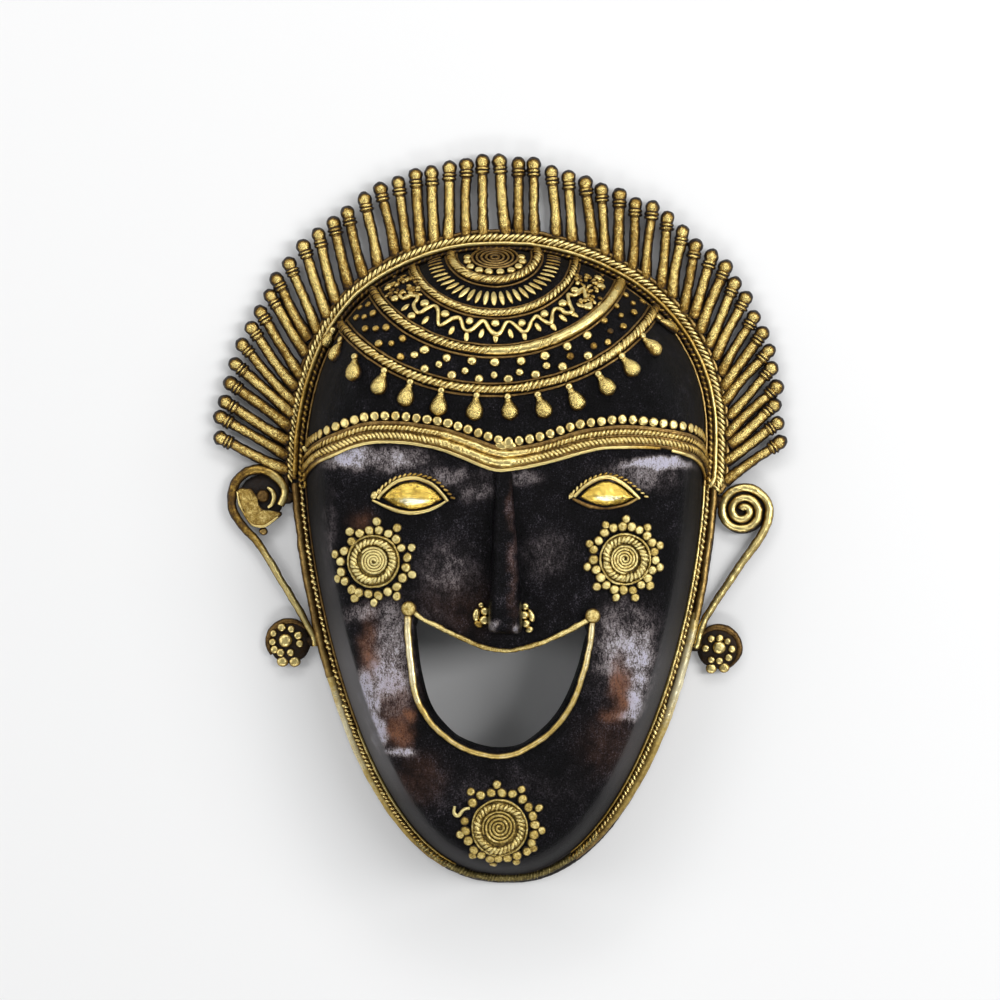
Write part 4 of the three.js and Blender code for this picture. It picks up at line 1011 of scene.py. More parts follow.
PETALS_EACH_WAY, PETAL_OVAL_X, PETAL_OVAL_Y = 15, 20.7, 15.8
hand = np.random.default_rng(91)
petals = []
for k in range(-PETALS_EACH_WAY, PETALS_EACH_WAY + 1):
    t = k / PETALS_EACH_WAY
    a = math.radians(270 + 89 * t * (1.25 - 0.25 * t * t))
    out_x, out_y = PETAL_OVAL_X * math.cos(a), PETAL_OVAL_Y * math.sin(a)
    heading = math.degrees(math.atan2(out_y, out_x * 0.9))
    petals.append((CROWN_X - 0.2 + out_x, CROWN_Y + out_y, 3.1 - 0.5 * abs(t),
                   0.98 * (1 - 0.5 * abs(t)) * hand.uniform(0.9, 1.12), 0.9, heading + hand.uniform(-3, 3),
                   0.1, hand.uniform(0.75, 1.0) * (0.65 if abs(t) > 0.75 else 1)))
for x, y, heading in [(-32.2, 71.9, 235), (-25.3, 67.3, 240), (-16.4, 63.8, 245), (-11.4, 61.7, 265),
                      (-6.3, 62.8, 250), (-1.5, 61.4, 268), (3.6, 62.8, 285), (8.3, 62.2, 280),
                      (12.9, 65.0, 300), (18.0, 65.2, 300), (21.4, 68.1, 310), (25.0, 69.4, 320),
                      (27.6, 72.5, 325), (30.2, 74.7, 330)]:
    petals.append((x, y, 2.0, 0.95, 0.9, heading, 0.1, 0.9))
granules("crown_petals", petals, bright_brass, fineness=3, rubbed_top=0.6, low=0.1, high=0.85, rough=0.05)

beads = [(x, y, 1.55, 1.5, 1.4, 0, 0.1, 1.0) for x, y in [(-11.2, 89.9), (-11.2, 88.3), (-10.2, 86.4),
                                                          (-7.1, 85.1), (-3.8, 84.6), (0.1, 84.5),
                                                          (3.8, 85.1), (6.4, 86.4), (7.7, 88.3), (7.4, 90.0)]]
for left, right, low, top, count in ((-39.0, -27.0, 75.5, 84.0, 64), (26.0, 35.5, 72.5, 84.0, 52)):
    for _ in range(count):
        beads.append((hand.uniform(left, right), hand.uniform(low, top), hand.uniform(0.7, 1.5),
                      hand.uniform(0.5, 0.9), hand.uniform(0.9, 1.3), hand.uniform(0, 180), 0.2,
                      hand.uniform(0.4, 0.95)))
FAINT_GRANULES = [(23.8, 55.0), (31.7, 58.5), (37.4, 63.7)]
TRIPLES = [(-43.2, 70.0), (-46.1, 68.8), (-49.0, 68.8), (-38.6, 64.9), (-42.0, 64.5), (-45.8, 64.6),
           (-33.0, 61.0), (-36.7, 59.3), (-41.0, 59.3), (-25.5, 57.1), (-28.9, 55.4), (-33.5, 54.7),
           (-18.0, 54.4), (-20.6, 52.1), (-25.4, 50.6), (-9.6, 53.4), (-11.9, 50.0), (-16.3, 48.5),
           (-1.8, 53.0), (-2.0, 48.6), (-7.2, 47.3), (7.2, 53.4), (6.7, 49.5), (2.8, 47.2), (15.2, 55.1),
           (15.8, 51.7), (12.1, 48.7), (22.8, 58.3), (23.8, 55.0), (21.2, 51.4), (29.6, 62.1), (31.7, 58.5),
           (29.8, 55.1), (35.3, 67.2), (37.4, 63.7), (36.5, 59.7), (39.6, 72.4), (41.1, 69.0), (41.8, 65.2),
           (43.0, 76.5), (45.4, 73.6), (45.6, 70.3), (-45.0, 73.3), (-47.9, 72.5), (48.9, 74.7)]
for k, (x, y) in enumerate(TRIPLES):
    middle = 0.85 if k % 3 == 1 else 1.0
    faint = 0.45 if (x, y) in FAINT_GRANULES else 1.0
    middle *= 0.8 if x > 32 else 0.88 if x < -32 else 1.0
    faint *= 0.7 if x > 32 or x < -32 else 1.0
    beads.append((x, y, 1.68 * middle * hand.uniform(0.9, 1.08), 1.62 * middle, 1.4 * min(1, faint + 0.3), 0,
                  0.1, 0.95 * faint))
for x, y in [(-38.2, 79.4), (-35.8, 75.0), (-30.0, 68.8), (-25.6, 73.2), (-18.7, 69.4), (-10.4, 67.0),
             (-1.6, 66.3), (7.4, 66.4), (15.1, 69.5), (21.3, 73.2), (25.5, 77.9), (33.7, 82.6), (34.5, 79.4),
             (30.0, 72.0)]:
    beads.append((x, y, 1.6 * hand.uniform(0.95, 1.08), 1.55, 1.4, 0, 0.15, 1.0))
granules("crown_granules", beads, bright_brass, fineness=3, rubbed_top=0.72, rough=0.12, low=-0.1, high=0.75)

# Each drop is a wax pear hung from a granule under the lowest ring.
DROPS = [(-58.2, 65.5, -60.2, 61.5, 2.2), (-54.0, 61.0, -56.0, 55.9, 2.6), (-48.9, 54.8, -49.4, 49.2, 2.75),
         (-38.9, 50.0, -40.9, 44.4, 2.75), (-30.2, 46.2, -31.9, 40.6, 2.8), (-19.8, 43.3, -20.7, 37.6, 2.9),
         (-8.0, 41.6, -8.6, 35.9, 2.9), (2.6, 41.2, 3.4, 36.0, 2.85), (12.8, 41.9, 14.9, 36.7, 2.8),
         (23.3, 44.6, 26.2, 39.2, 2.8), (33.1, 48.9, 36.4, 44.2, 2.75), (41.0, 54.9, 44.7, 50.4, 2.7),
         (48.0, 61.8, 52.4, 57.4, 2.6), (53.3, 68.0, 58.4, 65.3, 2.0)]
DROP_STEPS = 22
pears, knobs = [], []
for top_x, top_y, x, y, wide in DROPS:
    top, low = np.array([top_x, top_y]), np.array([x, y])
    way = (low - top) / np.linalg.norm(low - top)
    tip = low + way * wide
    s = np.linspace(0, 1, DROP_STEPS + 1)
    profile = np.interp(s, [0, 0.1, 0.22, 0.36, 0.5, 0.64, 0.78, 0.88, 0.95, 1.0],
                        [0.38, 0.38, 0.5, 0.78, 0.97, 1.06, 1.02, 0.84, 0.55, 0.05]) * wide
    line = top + (tip - top) * s[:, None]
    raised = 1.0 if abs(x) > 58 else 0.25
    pears.append(run_of(line, profile, lift=raised, shine=1.0, step=0, wander=0.03, seed=int(x) + 90))
    knobs.append((top_x, top_y, 1.35, 1.35, 1.5, 0, 0.25 + raised, 1.0))
threads("crown_drops", pears, gold_rod, sides=18, low=-0.1, high=0.75, rough=0.12, lump=2.0)
granules("crown_drop_knobs", knobs, bright_brass, fineness=3, rubbed_top=0.8)

# The brow band: a row of flattened beads over a thin thread, two ropes of opposite lay and a bright plain
# thread, pressed on across the face and turned down into the rim at both ends. Its middle is worn and pitted.
BROW_TOP = [(-68.6, 20.2), (-67.2, 23.0), (-64.6, 24.9), (-60.9, 26.8), (-56.3, 29.0), (-50.0, 31.4),
            (-43.8, 32.9), (-33.6, 33.0), (-26.8, 32.1), (-20.1, 31.1), (-13.3, 29.1), (-6.6, 26.7),
            (-1.5, 24.9), (2.5, 24.2), (6.9, 24.6), (13.7, 26.0), (20.4, 28.0), (27.2, 30.1), (33.9, 31.1),
            (40.7, 31.8), (47.5, 31.5), (54.4, 30.7), (61.4, 29.6), (66.4, 28.1), (69.8, 26.0), (71.2, 22.9)]
BROW_LOW = [(-67.9, 10.6), (-67.6, 13.0), (-66.4, 15.5), (-64.4, 17.3), (-60.9, 19.5), (-56.3, 21.6),
            (-50.0, 24.3), (-42.7, 25.9), (-33.6, 25.9), (-26.8, 25.0), (-20.1, 23.5), (-13.3, 21.0),
            (-6.6, 18.1), (-3.2, 16.9), (0.2, 16.4), (4.2, 16.8), (10.3, 17.8), (18.7, 19.8), (27.2, 22.3),
            (33.9, 23.8), (39.7, 24.2), (47.5, 24.3), (54.4, 23.9), (61.4, 22.3), (66.6, 20.0), (69.6, 17.0),
            (70.9, 13.2)]
BROW_POINTS = 320
share = np.linspace(0, 1, BROW_POINTS)
brow_top, brow_low = [read_along(smooth_line(edge, 0.5), share) for edge in (BROW_TOP, BROW_LOW)]


def brow_line(down, first=0.0, last=1.0):
    """A line of the band, from 0 at its upper thread to 1 at its lower one."""
    line = brow_top * (1 - down) + brow_low * down
    return line[int(first * (BROW_POINTS - 1)):int(last * (BROW_POINTS - 1)) + 1]


ends = [0.5, 0.9, 1.0, 1.0, 1.0, 1.0, 1.0, 1.0, 1.0, 0.95, 0.5]
worn_middle = np.interp(share, [0, 0.30, 0.38, 0.52, 0.60, 1], [0, 0.1, 0.8, 1.0, 0.15, 0.05])
threads("brow_lower_thread", [run_of(brow_line(0.99, 0, 0.86), 0.66, lift=0.55, shine=ends, step=0, seed=101),
                              run_of(brow_line(0.99, 0.885, 1), 0.66, lift=0.55, shine=[1, 1, 0.6], step=0,
                                     seed=102)], bright_brass, rough=0.05)
threads("brow_upper_thread", [run_of(brow_line(0.04), 0.42, lift=0.5, shine=0.8, step=0, wander=0.15,
                                     seed=103)], brown_brass, sides=8)
threads("brow_bed", [run_of(brow_line(down), 0.95, lift=0.05, shine=0.75, step=0, wander=0.1, seed=105)
                     for down in (0.12, 0.48, 0.86)], brown_brass, low=-1.0, high=0.5, rough=0.1)
for number, (down, lay, strand, radius) in enumerate([(0.3, 1.3, 0.52, 0.85), (0.67, -1.8, 0.62, 1.05)]):
    run = run_of(brow_line(down), 1.0, lift=0.55, shine=ends, step=0, seed=110 + number)
    rope(f"brow_rope_{number + 1}", [run], bright_brass, spacing=1.42, lay=lay, radius=radius, strand=strand,
         wrap=2.5, uneven=0.1, seed=20 + number, rough=0.05, low=-0.25, high=0.85)
    threads(f"brow_rope_core_{number + 1}",
            [run_of(brow_line(down), radius * (1.0 + 0.58 * worn_middle), lift=0.55, step=0,
                    shine=0.62 + 0.35 * worn_middle, wander=0.12, seed=120 + number)],
            bright_brass, sides=12, rough=0.2, lump=0.8, low=-0.7, high=0.8)
hand = np.random.default_rng(33)
BEAD_SPACING = 3.55
line = smooth_line(brow_line(-0.25, 0.015, 0.985), 0.4)
line = smooth_line(on_skin(line), BEAD_SPACING)[:, :2]
heading = np.degrees(np.arctan2(*np.gradient(line, axis=0).T[::-1]))
beads = []
for k, ((x, y), turn) in enumerate(zip(line, heading)):
    edge = min(k, len(line) - 1 - k)
    small = min(1, 0.62 + edge * 0.1)
    beads.append((x, y, 1.75 * small * hand.uniform(0.93, 1.05), 1.8 * min(1, 0.75 + edge * 0.08),
                  1.55 * small, turn + hand.uniform(-8, 8), 0.2, hand.uniform(0.85, 1.0)))
granules("brow_beads", beads, bright_brass, fineness=3, rubbed_top=0.62, rough=0.12, lump=1.2, low=0.2,
         high=0.9)
granules("brow_worn_lump", [(1.0, 24.9, 3.0, 1.5, 1.7, 0, 0, 0.9), (3.6, 24.8, 2.2, 1.3, 1.6, 0, 0, 0.85)],
         bright_brass, fineness=4, rubbed_top=0.6, rough=0.15)

# The eyes: an almond plate of polished brass with a low crease, held between an upper lid of plain thread
# with a roped edge and a thinner lower lid. The left one ends in a blob where the threads meet.
# Polished plate brass; its near-white top colour is used for a painted highlight.
plate_brass_with_painted_highlight = rubbed_brass("polished_plate", [(0.3, (0.08, 0.035, 0.008)), (0.6, (0.34, 0.20, 0.03)),
                                               (0.84, (0.78, 0.56, 0.12)), (1.0, (1.0, 0.92, 0.6))],
                            (0.38, 0.16), 0.32, 0.5)


def eye_plate(name, left, right, top, low, crease):
    """An almond plate: left and right tips, the middle of its upper and lower edges, and its crease."""
    columns, rows = 49, 33
    n = columns * rows
    s, c = np.meshgrid(np.linspace(0, 1, columns), np.linspace(-1, 1, rows), indexing="ij")
    bow = np.sin(np.pi * s) ** 0.85
    base = left[1] + (right[1] - left[1]) * s
    mid = (left[1] + right[1]) / 2
    upper, under = base + (top - mid) * bow, base + (low - mid) * bow
    x = left[0] + (right[0] - left[0]) * s
    y = (upper + under) / 2 + (upper - under) / 2 * c
    ridge = np.where(c > crease, (1 - c) / (1 - crease), (c + 1) / (1 + crease))
    rise = bow ** 0.7 * (0.2 + 2.0 * np.clip(ridge, 0, 1) ** 0.85) - 0.3
    rise += 0.12 * lumps(x, y, 0 * x, 2.5, 5) * bow
    z = skin_height(x, y)
    top_side = np.stack([x, y, z + rise], -1).reshape(-1, 3)
    under_side = np.stack([x, y, z - 1.0], -1).reshape(-1, 3)
    quads = [[i * rows + j, (i + 1) * rows + j, (i + 1) * rows + j + 1, i * rows + j + 1]
             for i in range(columns - 1) for j in range(rows - 1)]
    rim = ([i * rows for i in range(columns)] + [n - rows + j for j in range(1, rows)]
           + [i * rows + rows - 1 for i in range(columns - 2, -1, -1)] + list(range(rows - 2, 0, -1)))
    faces = quads + [[n + v for v in q[::-1]] for q in quads]
    faces += [[rim[k], n + rim[k], n + rim[(k + 1) % len(rim)], rim[(k + 1) % len(rim)]]
              for k in range(len(rim))]
    plate = mesh_piece(name, np.concatenate([top_side, under_side]), faces)
    turn_outwards(plate, merge=True)
    smooth(plate)
    plate.data.materials.append(plate_brass_with_painted_highlight)
    at = points_of(plate)
    mark(plate, "up", skin_facing(at[:, 0], at[:, 1]))
    s = (at[:, 0] - left[0]) / (right[0] - left[0])
    base, bow = left[1] + (right[1] - left[1]) * s, np.sin(np.pi * np.clip(s, 0, 1)) ** 0.85 + 1e-6
    c = (at[:, 1] - base - (top + low - 2 * mid) / 2 * bow) / ((top - low) / 2 * bow)
    edge = np.minimum(np.clip(1 - abs(c), 0, 1), 3 * np.minimum(s, 1 - s))
    # Painted highlight: a bright patch low in the middle of each plate, away from its edge.
    painted_highlight = np.exp(-(((c + 0.38) / 0.2) ** 2) - ((s - 0.5) / 0.24) ** 2)
    mark(plate, "shine", np.interp(edge, [0, 0.06, 0.2], [0.3, 0.6, 0.74])
         + 0.45 * painted_highlight * (edge > 0.05))
    hand_rub(plate, low=0.2, high=0.9, rough=0.08, lump=1.2)


eye_plate("left_eye_plate", (-40.2, 7.4), (-19.0, 6.8), 12.9, 2.9, -0.2)
eye_plate("right_eye_plate", (26.6, 7.4), (46.0, 7.2), 13.1, 4.3, -0.25)
lids = [run_of([(-41.2, 7.0), (-38.3, 10.2), (-34.3, 12.9), (-28.9, 13.9), (-23.4, 12.1), (-20.1, 9.2),
                (-17.6, 6.0)], [0.6, 0.72, 0.8, 0.72, 0.62], lift=0.75, seed=131),
        run_of([(24.9, 7.5), (27.8, 10.5), (31.9, 13.2), (36.4, 14.3), (40.4, 12.7), (44.4, 9.5),
                (47.0, 6.9)], [0.6, 0.75, 0.85, 0.75, 0.6], lift=0.75, seed=132),
        run_of([(-43.0, 6.4), (-37.9, 4.0), (-33.6, 2.6), (-29.5, 2.1), (-24.5, 2.9), (-20.7, 4.5),
                (-18.0, 6.2)], [0.45, 0.72, 0.75, 0.7, 0.5], lift=0.6, seed=133)]
threads("eye_lids", lids, bright_brass, rough=0.06)
threads("right_eye_lower_lid", [run_of([(24.5, 6.9), (27.8, 5.3), (30.8, 4.2), (36.0, 3.6), (42.4, 4.9),
                                        (46.8, 7.2)], [0.6, 0.75, 0.45, 0.5, 0.55], lift=0.5,
                                       shine=[0.7, 0.8, 0.5, 0.9, 1.0], seed=134)], brown_brass, rough=0.05)
lashes = [run_of([(-42.2, 8.2), (-39.0, 11.3), (-34.9, 13.9), (-29.0, 15.1), (-22.5, 13.5), (-18.7, 10.4),
                  (-15.9, 7.2)], 1.0, lift=0.4, shine=[1, 0.8, 0.6, 0.6, 0.5], seed=135),
          run_of([(23.4, 7.6), (26.4, 10.8), (30.7, 13.8), (36.4, 15.3), (41.8, 13.5), (45.9, 10.6),
                  (49.3, 7.6)], 1.0, lift=0.4, shine=[1, 0.8, 0.5, 0.6, 1.0], seed=136)]
rope("eye_lashes", lashes, bright_brass, spacing=1.75, lay=1.6, radius=0.45, strand=0.5, wrap=2.2,
     uneven=0.15, seed=24)
granules("eye_corner", [(-42.3, 8.1, 1.6, 1.3, 1.4, 60, 0.1, 1.0), (-40.6, 9.3, 1.1, 0.8, 1.2, 60, 0.1, 0.9),
                        (24.0, 8.0, 1.1, 0.9, 1.1, 90, 0.1, 0.9)],
         bright_brass, fineness=3, rough=0.12)

# The nose: a long wedge of the same black casting that widens to a blunt tip, rubbed brown down its right
# side. Each row is a place along it, with the middle, half width and height there. Granules sit by both
# nostrils.
NOSE_TOP, NOSE_END, TIP_LENGTH, TIP_ROUNDNESS = 16.4, -35.2, 3.3, 0.42
ALONG_STEPS, TIP_STEPS, AROUND = 84, 9, 33
NOSE = [(16.4, 1.2, 2.5, 0.8), (8, 1.25, 2.8, 2.6), (0, 1.35, 3.3, 4.4), (-10, 1.5, 3.9, 6.6),
        (-20, 1.6, 4.4, 8.6), (-28, 1.65, 4.9, 9.8), (-35.2, 1.75, 5.2, 10.2)]
tip_turn = np.linspace(0.18, 1, TIP_STEPS) * np.pi / 2
along = np.concatenate([np.linspace(NOSE_TOP, NOSE_END, ALONG_STEPS),
                        NOSE_END - TIP_LENGTH * np.sin(tip_turn)])
shrink = np.concatenate([np.ones(ALONG_STEPS), np.cos(tip_turn) ** TIP_ROUNDNESS])
shrink[-1] = 0.12
row_at = [-row[0] for row in NOSE]
middle, half, high = [np.interp(-along, row_at, [row[k] for row in NOSE]) for k in (1, 2, 3)]
half, high = half * (0.55 + 0.45 * shrink), high * shrink
rows, arc = [], np.linspace(0, np.pi, AROUND)
for y, mx, w, h in zip(along, middle, half, high):
    c, s = np.cos(arc), np.sin(arc)
    px = mx + w * np.sign(c) * abs(c) ** TIP_ROUNDNESS * (1 + 0.12 * (1 - s))
    rise = h * s ** TIP_ROUNDNESS
    py = np.full(AROUND, y)
    rise = rise + 0.14 * lumps(px, py, rise, 3.0, 8) * s
    base = skin_height(px, py)
    ring = np.column_stack([px, py, base + np.where(s < 1e-6, -1.2, rise - 0.1)])
    rows.append(np.concatenate([ring, [[mx, y, skin_height(mx, y) - 1.4]]]))
n = AROUND + 1
faces = [[r * n + k, (r + 1) * n + k, (r + 1) * n + (k + 1) % n, r * n + (k + 1) % n]
         for r in range(len(rows) - 1) for k in range(n)]
faces += [list(range(n)), [(len(rows) - 1) * n + k for k in range(n)][::-1]]
nose = mesh_piece("nose", np.concatenate(rows), faces)
turn_outwards(nose)
smooth(nose)
nose.data.materials.append(blackened)
at = points_of(nose)
x, y = at[:, 0], at[:, 1]
mark(nose, "rubbed", patches(x, y, [(4.6, -10, 1.8, 26, 0.32), (-2.2, -36.4, 2.6, 2.2, 0.55),
                                    (5.1, -36.9, 1.4, 2.2, 0.7), (3.6, 4, 1.5, 3.5, 0.4)]))
mark(nose, "copper", patches(x, y, [(4.4, -12, 1.1, 24, 0.22), (3.3, 4, 0.9, 7, 0.25)]))
for name in ("wall", "side"):
    mark(nose, name, 0 * x)
# Painted highlights: two bright spots on the corners of the nose tip.
mark(nose, "painted_sheen", patches(x, y, [(-2.2, -36.2, 2.2, 1.5, 0.6), (5.1, -36.9, 1.0, 1.7, 1.0)]))
part_of_casting(nose)
beads = [(-6.3, -28.9, 1.1, 1.0, 1.1, 0, 0.2, 1), (-5.0, -31.0, 1.6, 1.5, 1.5, 0, 0.2, 1),
         (-5.2, -34.0, 1.85, 1.7, 1.6, 0, 0.2, 1), (-8.0, -32.3, 2.35, 1.25, 1.3, 85, 0.2, 1),
         (-7.3, -35.4, 1.7, 1.15, 1.2, 150, 0.1, 0.6), (8.4, -29.4, 1.4, 1.3, 1.3, 0, 0.2, 1),
         (8.1, -32.3, 1.65, 1.5, 1.5, 0, 0.2, 1), (8.7, -35.2, 1.55, 1.45, 1.5, 0, 0.2, 1),
         (10.5, -32.5, 2.35, 1.15, 1.3, 108, 0.2, 1), (9.9, -37.2, 1.45, 1.1, 1.1, 20, 0.2, 0.9)]
granules("nose_granules", beads, bright_brass, fineness=3, rough=0.07, low=-0.3, high=0.8)

# The rosettes on both cheeks and the chin: a tight spiral of thread, a ring of rope, a thin ring and two
# rings of granules, the outer one with gaps. All are pressed on the wax and cast with it. Each row has a
# rosette's middle, the radii of its spiral, rope and edge, its first turn, and the shine of spiral and rope.
ROSETTES = [(-42.6, -14.2, 4.7, 6.6, 8.6, 0.0, 0.98, 1.12), (42.1, -13.5, 4.9, 6.6, 8.5, 2.2, 0.85, 0.97),
            (-0.2, -104.3, 5.8, 7.5, 9.3, 1.0, 0.62, 0.78)]
COILS = 4.4
# The granules of each rosette were read off a crop of the photo: its corner in pixels, how far it was
# enlarged, and the height of the front there. The lists hold each rosette's granules in that crop's pixels.
BEAD_CROPS = [((0, 0), 1, 38.5), ((575, 505), 9, 38.5), ((400, 740), 4.3, 34)]
INNER_BEADS = [[(378.8, 530.5), (388.2, 533.6), (396.1, 539.4), (401.2, 547.9), (407.1, 557.3),
                (405.7, 567.5), (402.5, 577.9), (396.8, 586.8), (387.5, 591.8), (378.4, 595.5),
                (368.2, 594.1), (358.6, 592.7), (351.4, 589.5), (344.5, 581.2), (341.1, 572.3),
                (340.5, 561.5), (344.1, 551.1), (351.4, 541.6), (359.4, 533.5), (369.1, 530.3)],
               [(338, 208), (420, 195), (503, 197), (572, 225), (642, 277), (688, 338), (707, 422),
                (716, 498), (690, 588), (647, 660), (588, 718), (515, 770), (430, 765), (348, 762),
                (275, 722), (224, 652), (183, 580), (160, 493), (160, 403), (205, 323), (258, 250)],
               [(310, 265), (345, 233), (390, 222), (437, 222), (481, 227), (524, 250), (549, 283),
                (569, 322), (578, 360), (574, 402), (563, 437), (543, 472), (500, 490), (459, 500),
                (421, 502), (386, 503), (349, 487), (317, 466), (293, 427), (281, 385), (277, 343)]]
OUTER_BEADS = [[(376.5, 521.5), (396.8, 528.2), (411.2, 547.5), (411.8, 574.5), (396.4, 596.2),
                (373.6, 602.7), (354.1, 598.2), (337.5, 578.6), (334.8, 554.5), (349.4, 531.6)],
               [(455, 128), (647, 202), (758, 364), (760, 563), (668, 728), (535, 832), (362, 832),
                (190, 735), (105, 557), (122, 350), (266, 178)],
               [(303, 218), (415, 187), (520, 207), (594, 287), (606, 384), (570, 460), (498, 517),
                (400, 527), (312, 490), (258, 402)]]
gold = rubbed_brass("rosette_brass", [(0.05, (0.035, 0.022, 0.007)), (0.3, (0.17, 0.105, 0.024)),
                                      (0.6, (0.50, 0.36, 0.10)), (0.95, (0.87, 0.74, 0.33))], (0.5, 0.28),
                    0.95, 0.7)
hand = np.random.default_rng(20)


def circle(cx, cy, radius):
    turn = np.linspace(0, 2 * np.pi, 72, endpoint=False)
    return np.column_stack([cx + radius * np.cos(turn), cy + radius * np.sin(turn)])


spirals, rings, rope_rings, rope_cores, beads, discs = [], [], [], [], [], []
for number, (cx, cy, coil, rope_at, edge, start, spiral_shine, rope_shine) in enumerate(ROSETTES):
    a = np.linspace(0, 2 * np.pi * COILS, 280)
    r = 0.45 + (coil - 0.45) * a / a[-1]
    spiral = np.column_stack([cx + r * np.cos(a + start), cy + r * np.sin(a + start)])
    spirals.append(run_of(spiral, 0.5, lift=0.8, step=0, wander=0.12, shine=spiral_shine, seed=140 + number))
    roped = circle(cx, cy, rope_at)
    rope_rings.append(run_of(roped, 1.0, lift=0.65, closed=True, sway=0.3, shine=rope_shine,
                             seed=143 + number))
    rope_cores.append(run_of(roped, 1.35, lift=0.5, closed=True, shine=0.75, wander=0.25, sway=0.3,
                             seed=143 + number))
    rings.append(run_of(circle(cx, cy, edge), 0.5, lift=0.55, closed=True, wander=0.2, sway=0.25, shine=0.68,
                        seed=149 + number))
    discs.append((cx, cy, edge + 0.3, edge + 0.3, 0.95, 0, -0.2, 0.35))
for rings_of_beads, wide, high in ((INNER_BEADS, 1.78, 1.6), (OUTER_BEADS, 1.6, 1.3)):
    for ((left, top), enlarged, level), places in zip(BEAD_CROPS, rings_of_beads):
        for px, py in places:
            x, y = read_off(left + px / enlarged, top + py / enlarged, level)
            dull = 0.76 if y < -60 else 0.88 if x > 0 else 1
            beads.append((x, y, wide * hand.uniform(0.92, 1.06), wide * hand.uniform(0.88, 1.04), high,
                          hand.uniform(0, 180), 0.2, hand.uniform(0.7, 1) * dull))
granules("rosette_discs", discs, gold, fineness=5, rubbed_top=0.4, rough=0.08)
threads("rosette_spirals", spirals, gold, sides=8, rough=0.03)
threads("rosette_rings", rings, gold, sides=8, rough=0.04)
threads("rosette_rope_cores", rope_cores, gold, sides=10, rough=0.1, lump=0.9)
rope("rosette_ropes", rope_rings, gold, spacing=1.4, lay=1.5, radius=1.15, strand=0.74, wrap=2.2, uneven=0.2,
     seed=27, rough=0.12, low=-0.1, high=0.8)
granules("rosette_granules", beads, gold, fineness=3, rubbed_top=0.62, rough=0.13, lump=1.2, low=0.4,
         high=0.97)
hook = [(-15.2, -96.9), (-15.4, -99.3), (-14.0, -100.2), (-12.3, -98.2), (-10.2, -97.6)]
threads("rosette_hook", [run_of(hook, [0.55, 0.7, 0.7, 0.6], lift=0.9, step=0.4, seed=152)], gold, rough=0.05)

# The mouth: threads laid round the cut edge of the opening, a rough coppery one for the upper lip and a
# polished one for the lower lip, with a ball of wax pressed on where they meet in each corner. The lower lip
# goes near white at its left end, a painted highlight.
lips = [run_of([(-31, -32.8), (-30.9, -40.7), (-29.9, -49.2), (-28.8, -57.8), (-26.5, -64), (-22.5, -69.5),
                (-16.9, -74.6), (-10.3, -78), (-3.2, -79.9), (3.6, -79.6), (10.1, -76.6),
                (16.5, -72.3), (22.1, -65.8), (25.7, -59.2), (28.2, -51), (30.3, -42.6), (31.1, -34.2)],
               [1.3, 1.25, 1.1, 0.98, 0.95, 1.0, 1.05, 1.05, 1.05], lift=0.55,
               shine=[0.75, 0.98, 0.9, 0.68, 0.66, 0.68, 0.66, 0.7, 0.66, 0.68, 0.7, 0.85, 0.85],
               sway=0.15, seed=160)]
threads("lower_lip", lips, edge_brass, sides=14, rough=0.13, lump=1.2, low=-0.1, high=0.95)
copper_lip = rubbed_brass("copper_lip", [(0.05, (0.03, 0.016, 0.006)), (0.3, (0.16, 0.085, 0.022)),
                                         (0.6, (0.42, 0.28, 0.07)), (0.95, (0.88, 0.72, 0.30))], (0.55, 0.35),
                          0.9, 0.8)
threads("upper_lip", [run_of(UPPER_LIP, [0.95, 0.9, 0.85, 0.9, 0.85, 0.8, 0.8, 0.85, 0.9, 1.0, 0.9],
                             lift=0.45, shine=[1, 1, 0.8, 0.7, 0.75, 0.7, 0.8, 0.95, 1], wander=0.2, sway=0.3,
                             seed=161)], copper_lip, sides=12, rough=0.16, lump=1.0)
balls = np.array([(-30.7, -30.2), (31.2, -32.6)])
up = skin_facing(balls[:, 0], balls[:, 1])
places = on_skin(balls) + up * 0.9
granules_at("lip_balls", places, up, np.tile((1.0, 0, 0), (2, 1)), [(2.65, 2.6, 2.2)] * 2, [0.78, 0.78],
            copper_lip, fineness=4, rubbed_top=0.75, rough=0.12)

# The ears: outside the rim on each side a wire scroll above and a granulated cup below, tied by a slanting
# rod, all rolled and modelled in wax and cast with the rim. The right scroll is sound; the left one is a
# broken loop with a ragged plate.
EAR_HEIGHT = 3.0
SCROLL_X, SCROLL_Y, SCROLL_TURNS, SCROLL_OUT, SCROLL_IN = 84.8, 2.7, 2.4, 9.3, 0.9
a = np.linspace(0, 2 * SCROLL_TURNS * np.pi, 140)
r = SCROLL_OUT + (SCROLL_IN - SCROLL_OUT) * (a / a[-1]) ** 0.9
scroll = np.column_stack([SCROLL_X + r * np.cos(a), SCROLL_Y + r * np.sin(a) * 0.97])
rod = smooth_line([(68.2, -45.2), (69.1, -43.1), (71.2, -35.8), (77.0, -26.3), (84.3, -15.5), (90.8, -6.6),
                   (93.6, -1.2)], 0.8)
path = at_height(np.concatenate([rod, scroll]), EAR_HEIGHT)
count = len(rod)
path[count:, 2] += 0.5 * np.linspace(0, 1, len(scroll))
thick = np.concatenate([np.linspace(1.3, 1.5, count), np.linspace(1.6, 1.45, len(scroll))])
threads("right_ear_wire", [run_of(path, thick, step=0.6, wander=0.08, sway=0.15, seed=170)], bright_brass,
        sides=14, low=0.1, high=0.95, rough=0.12, lump=1.2)
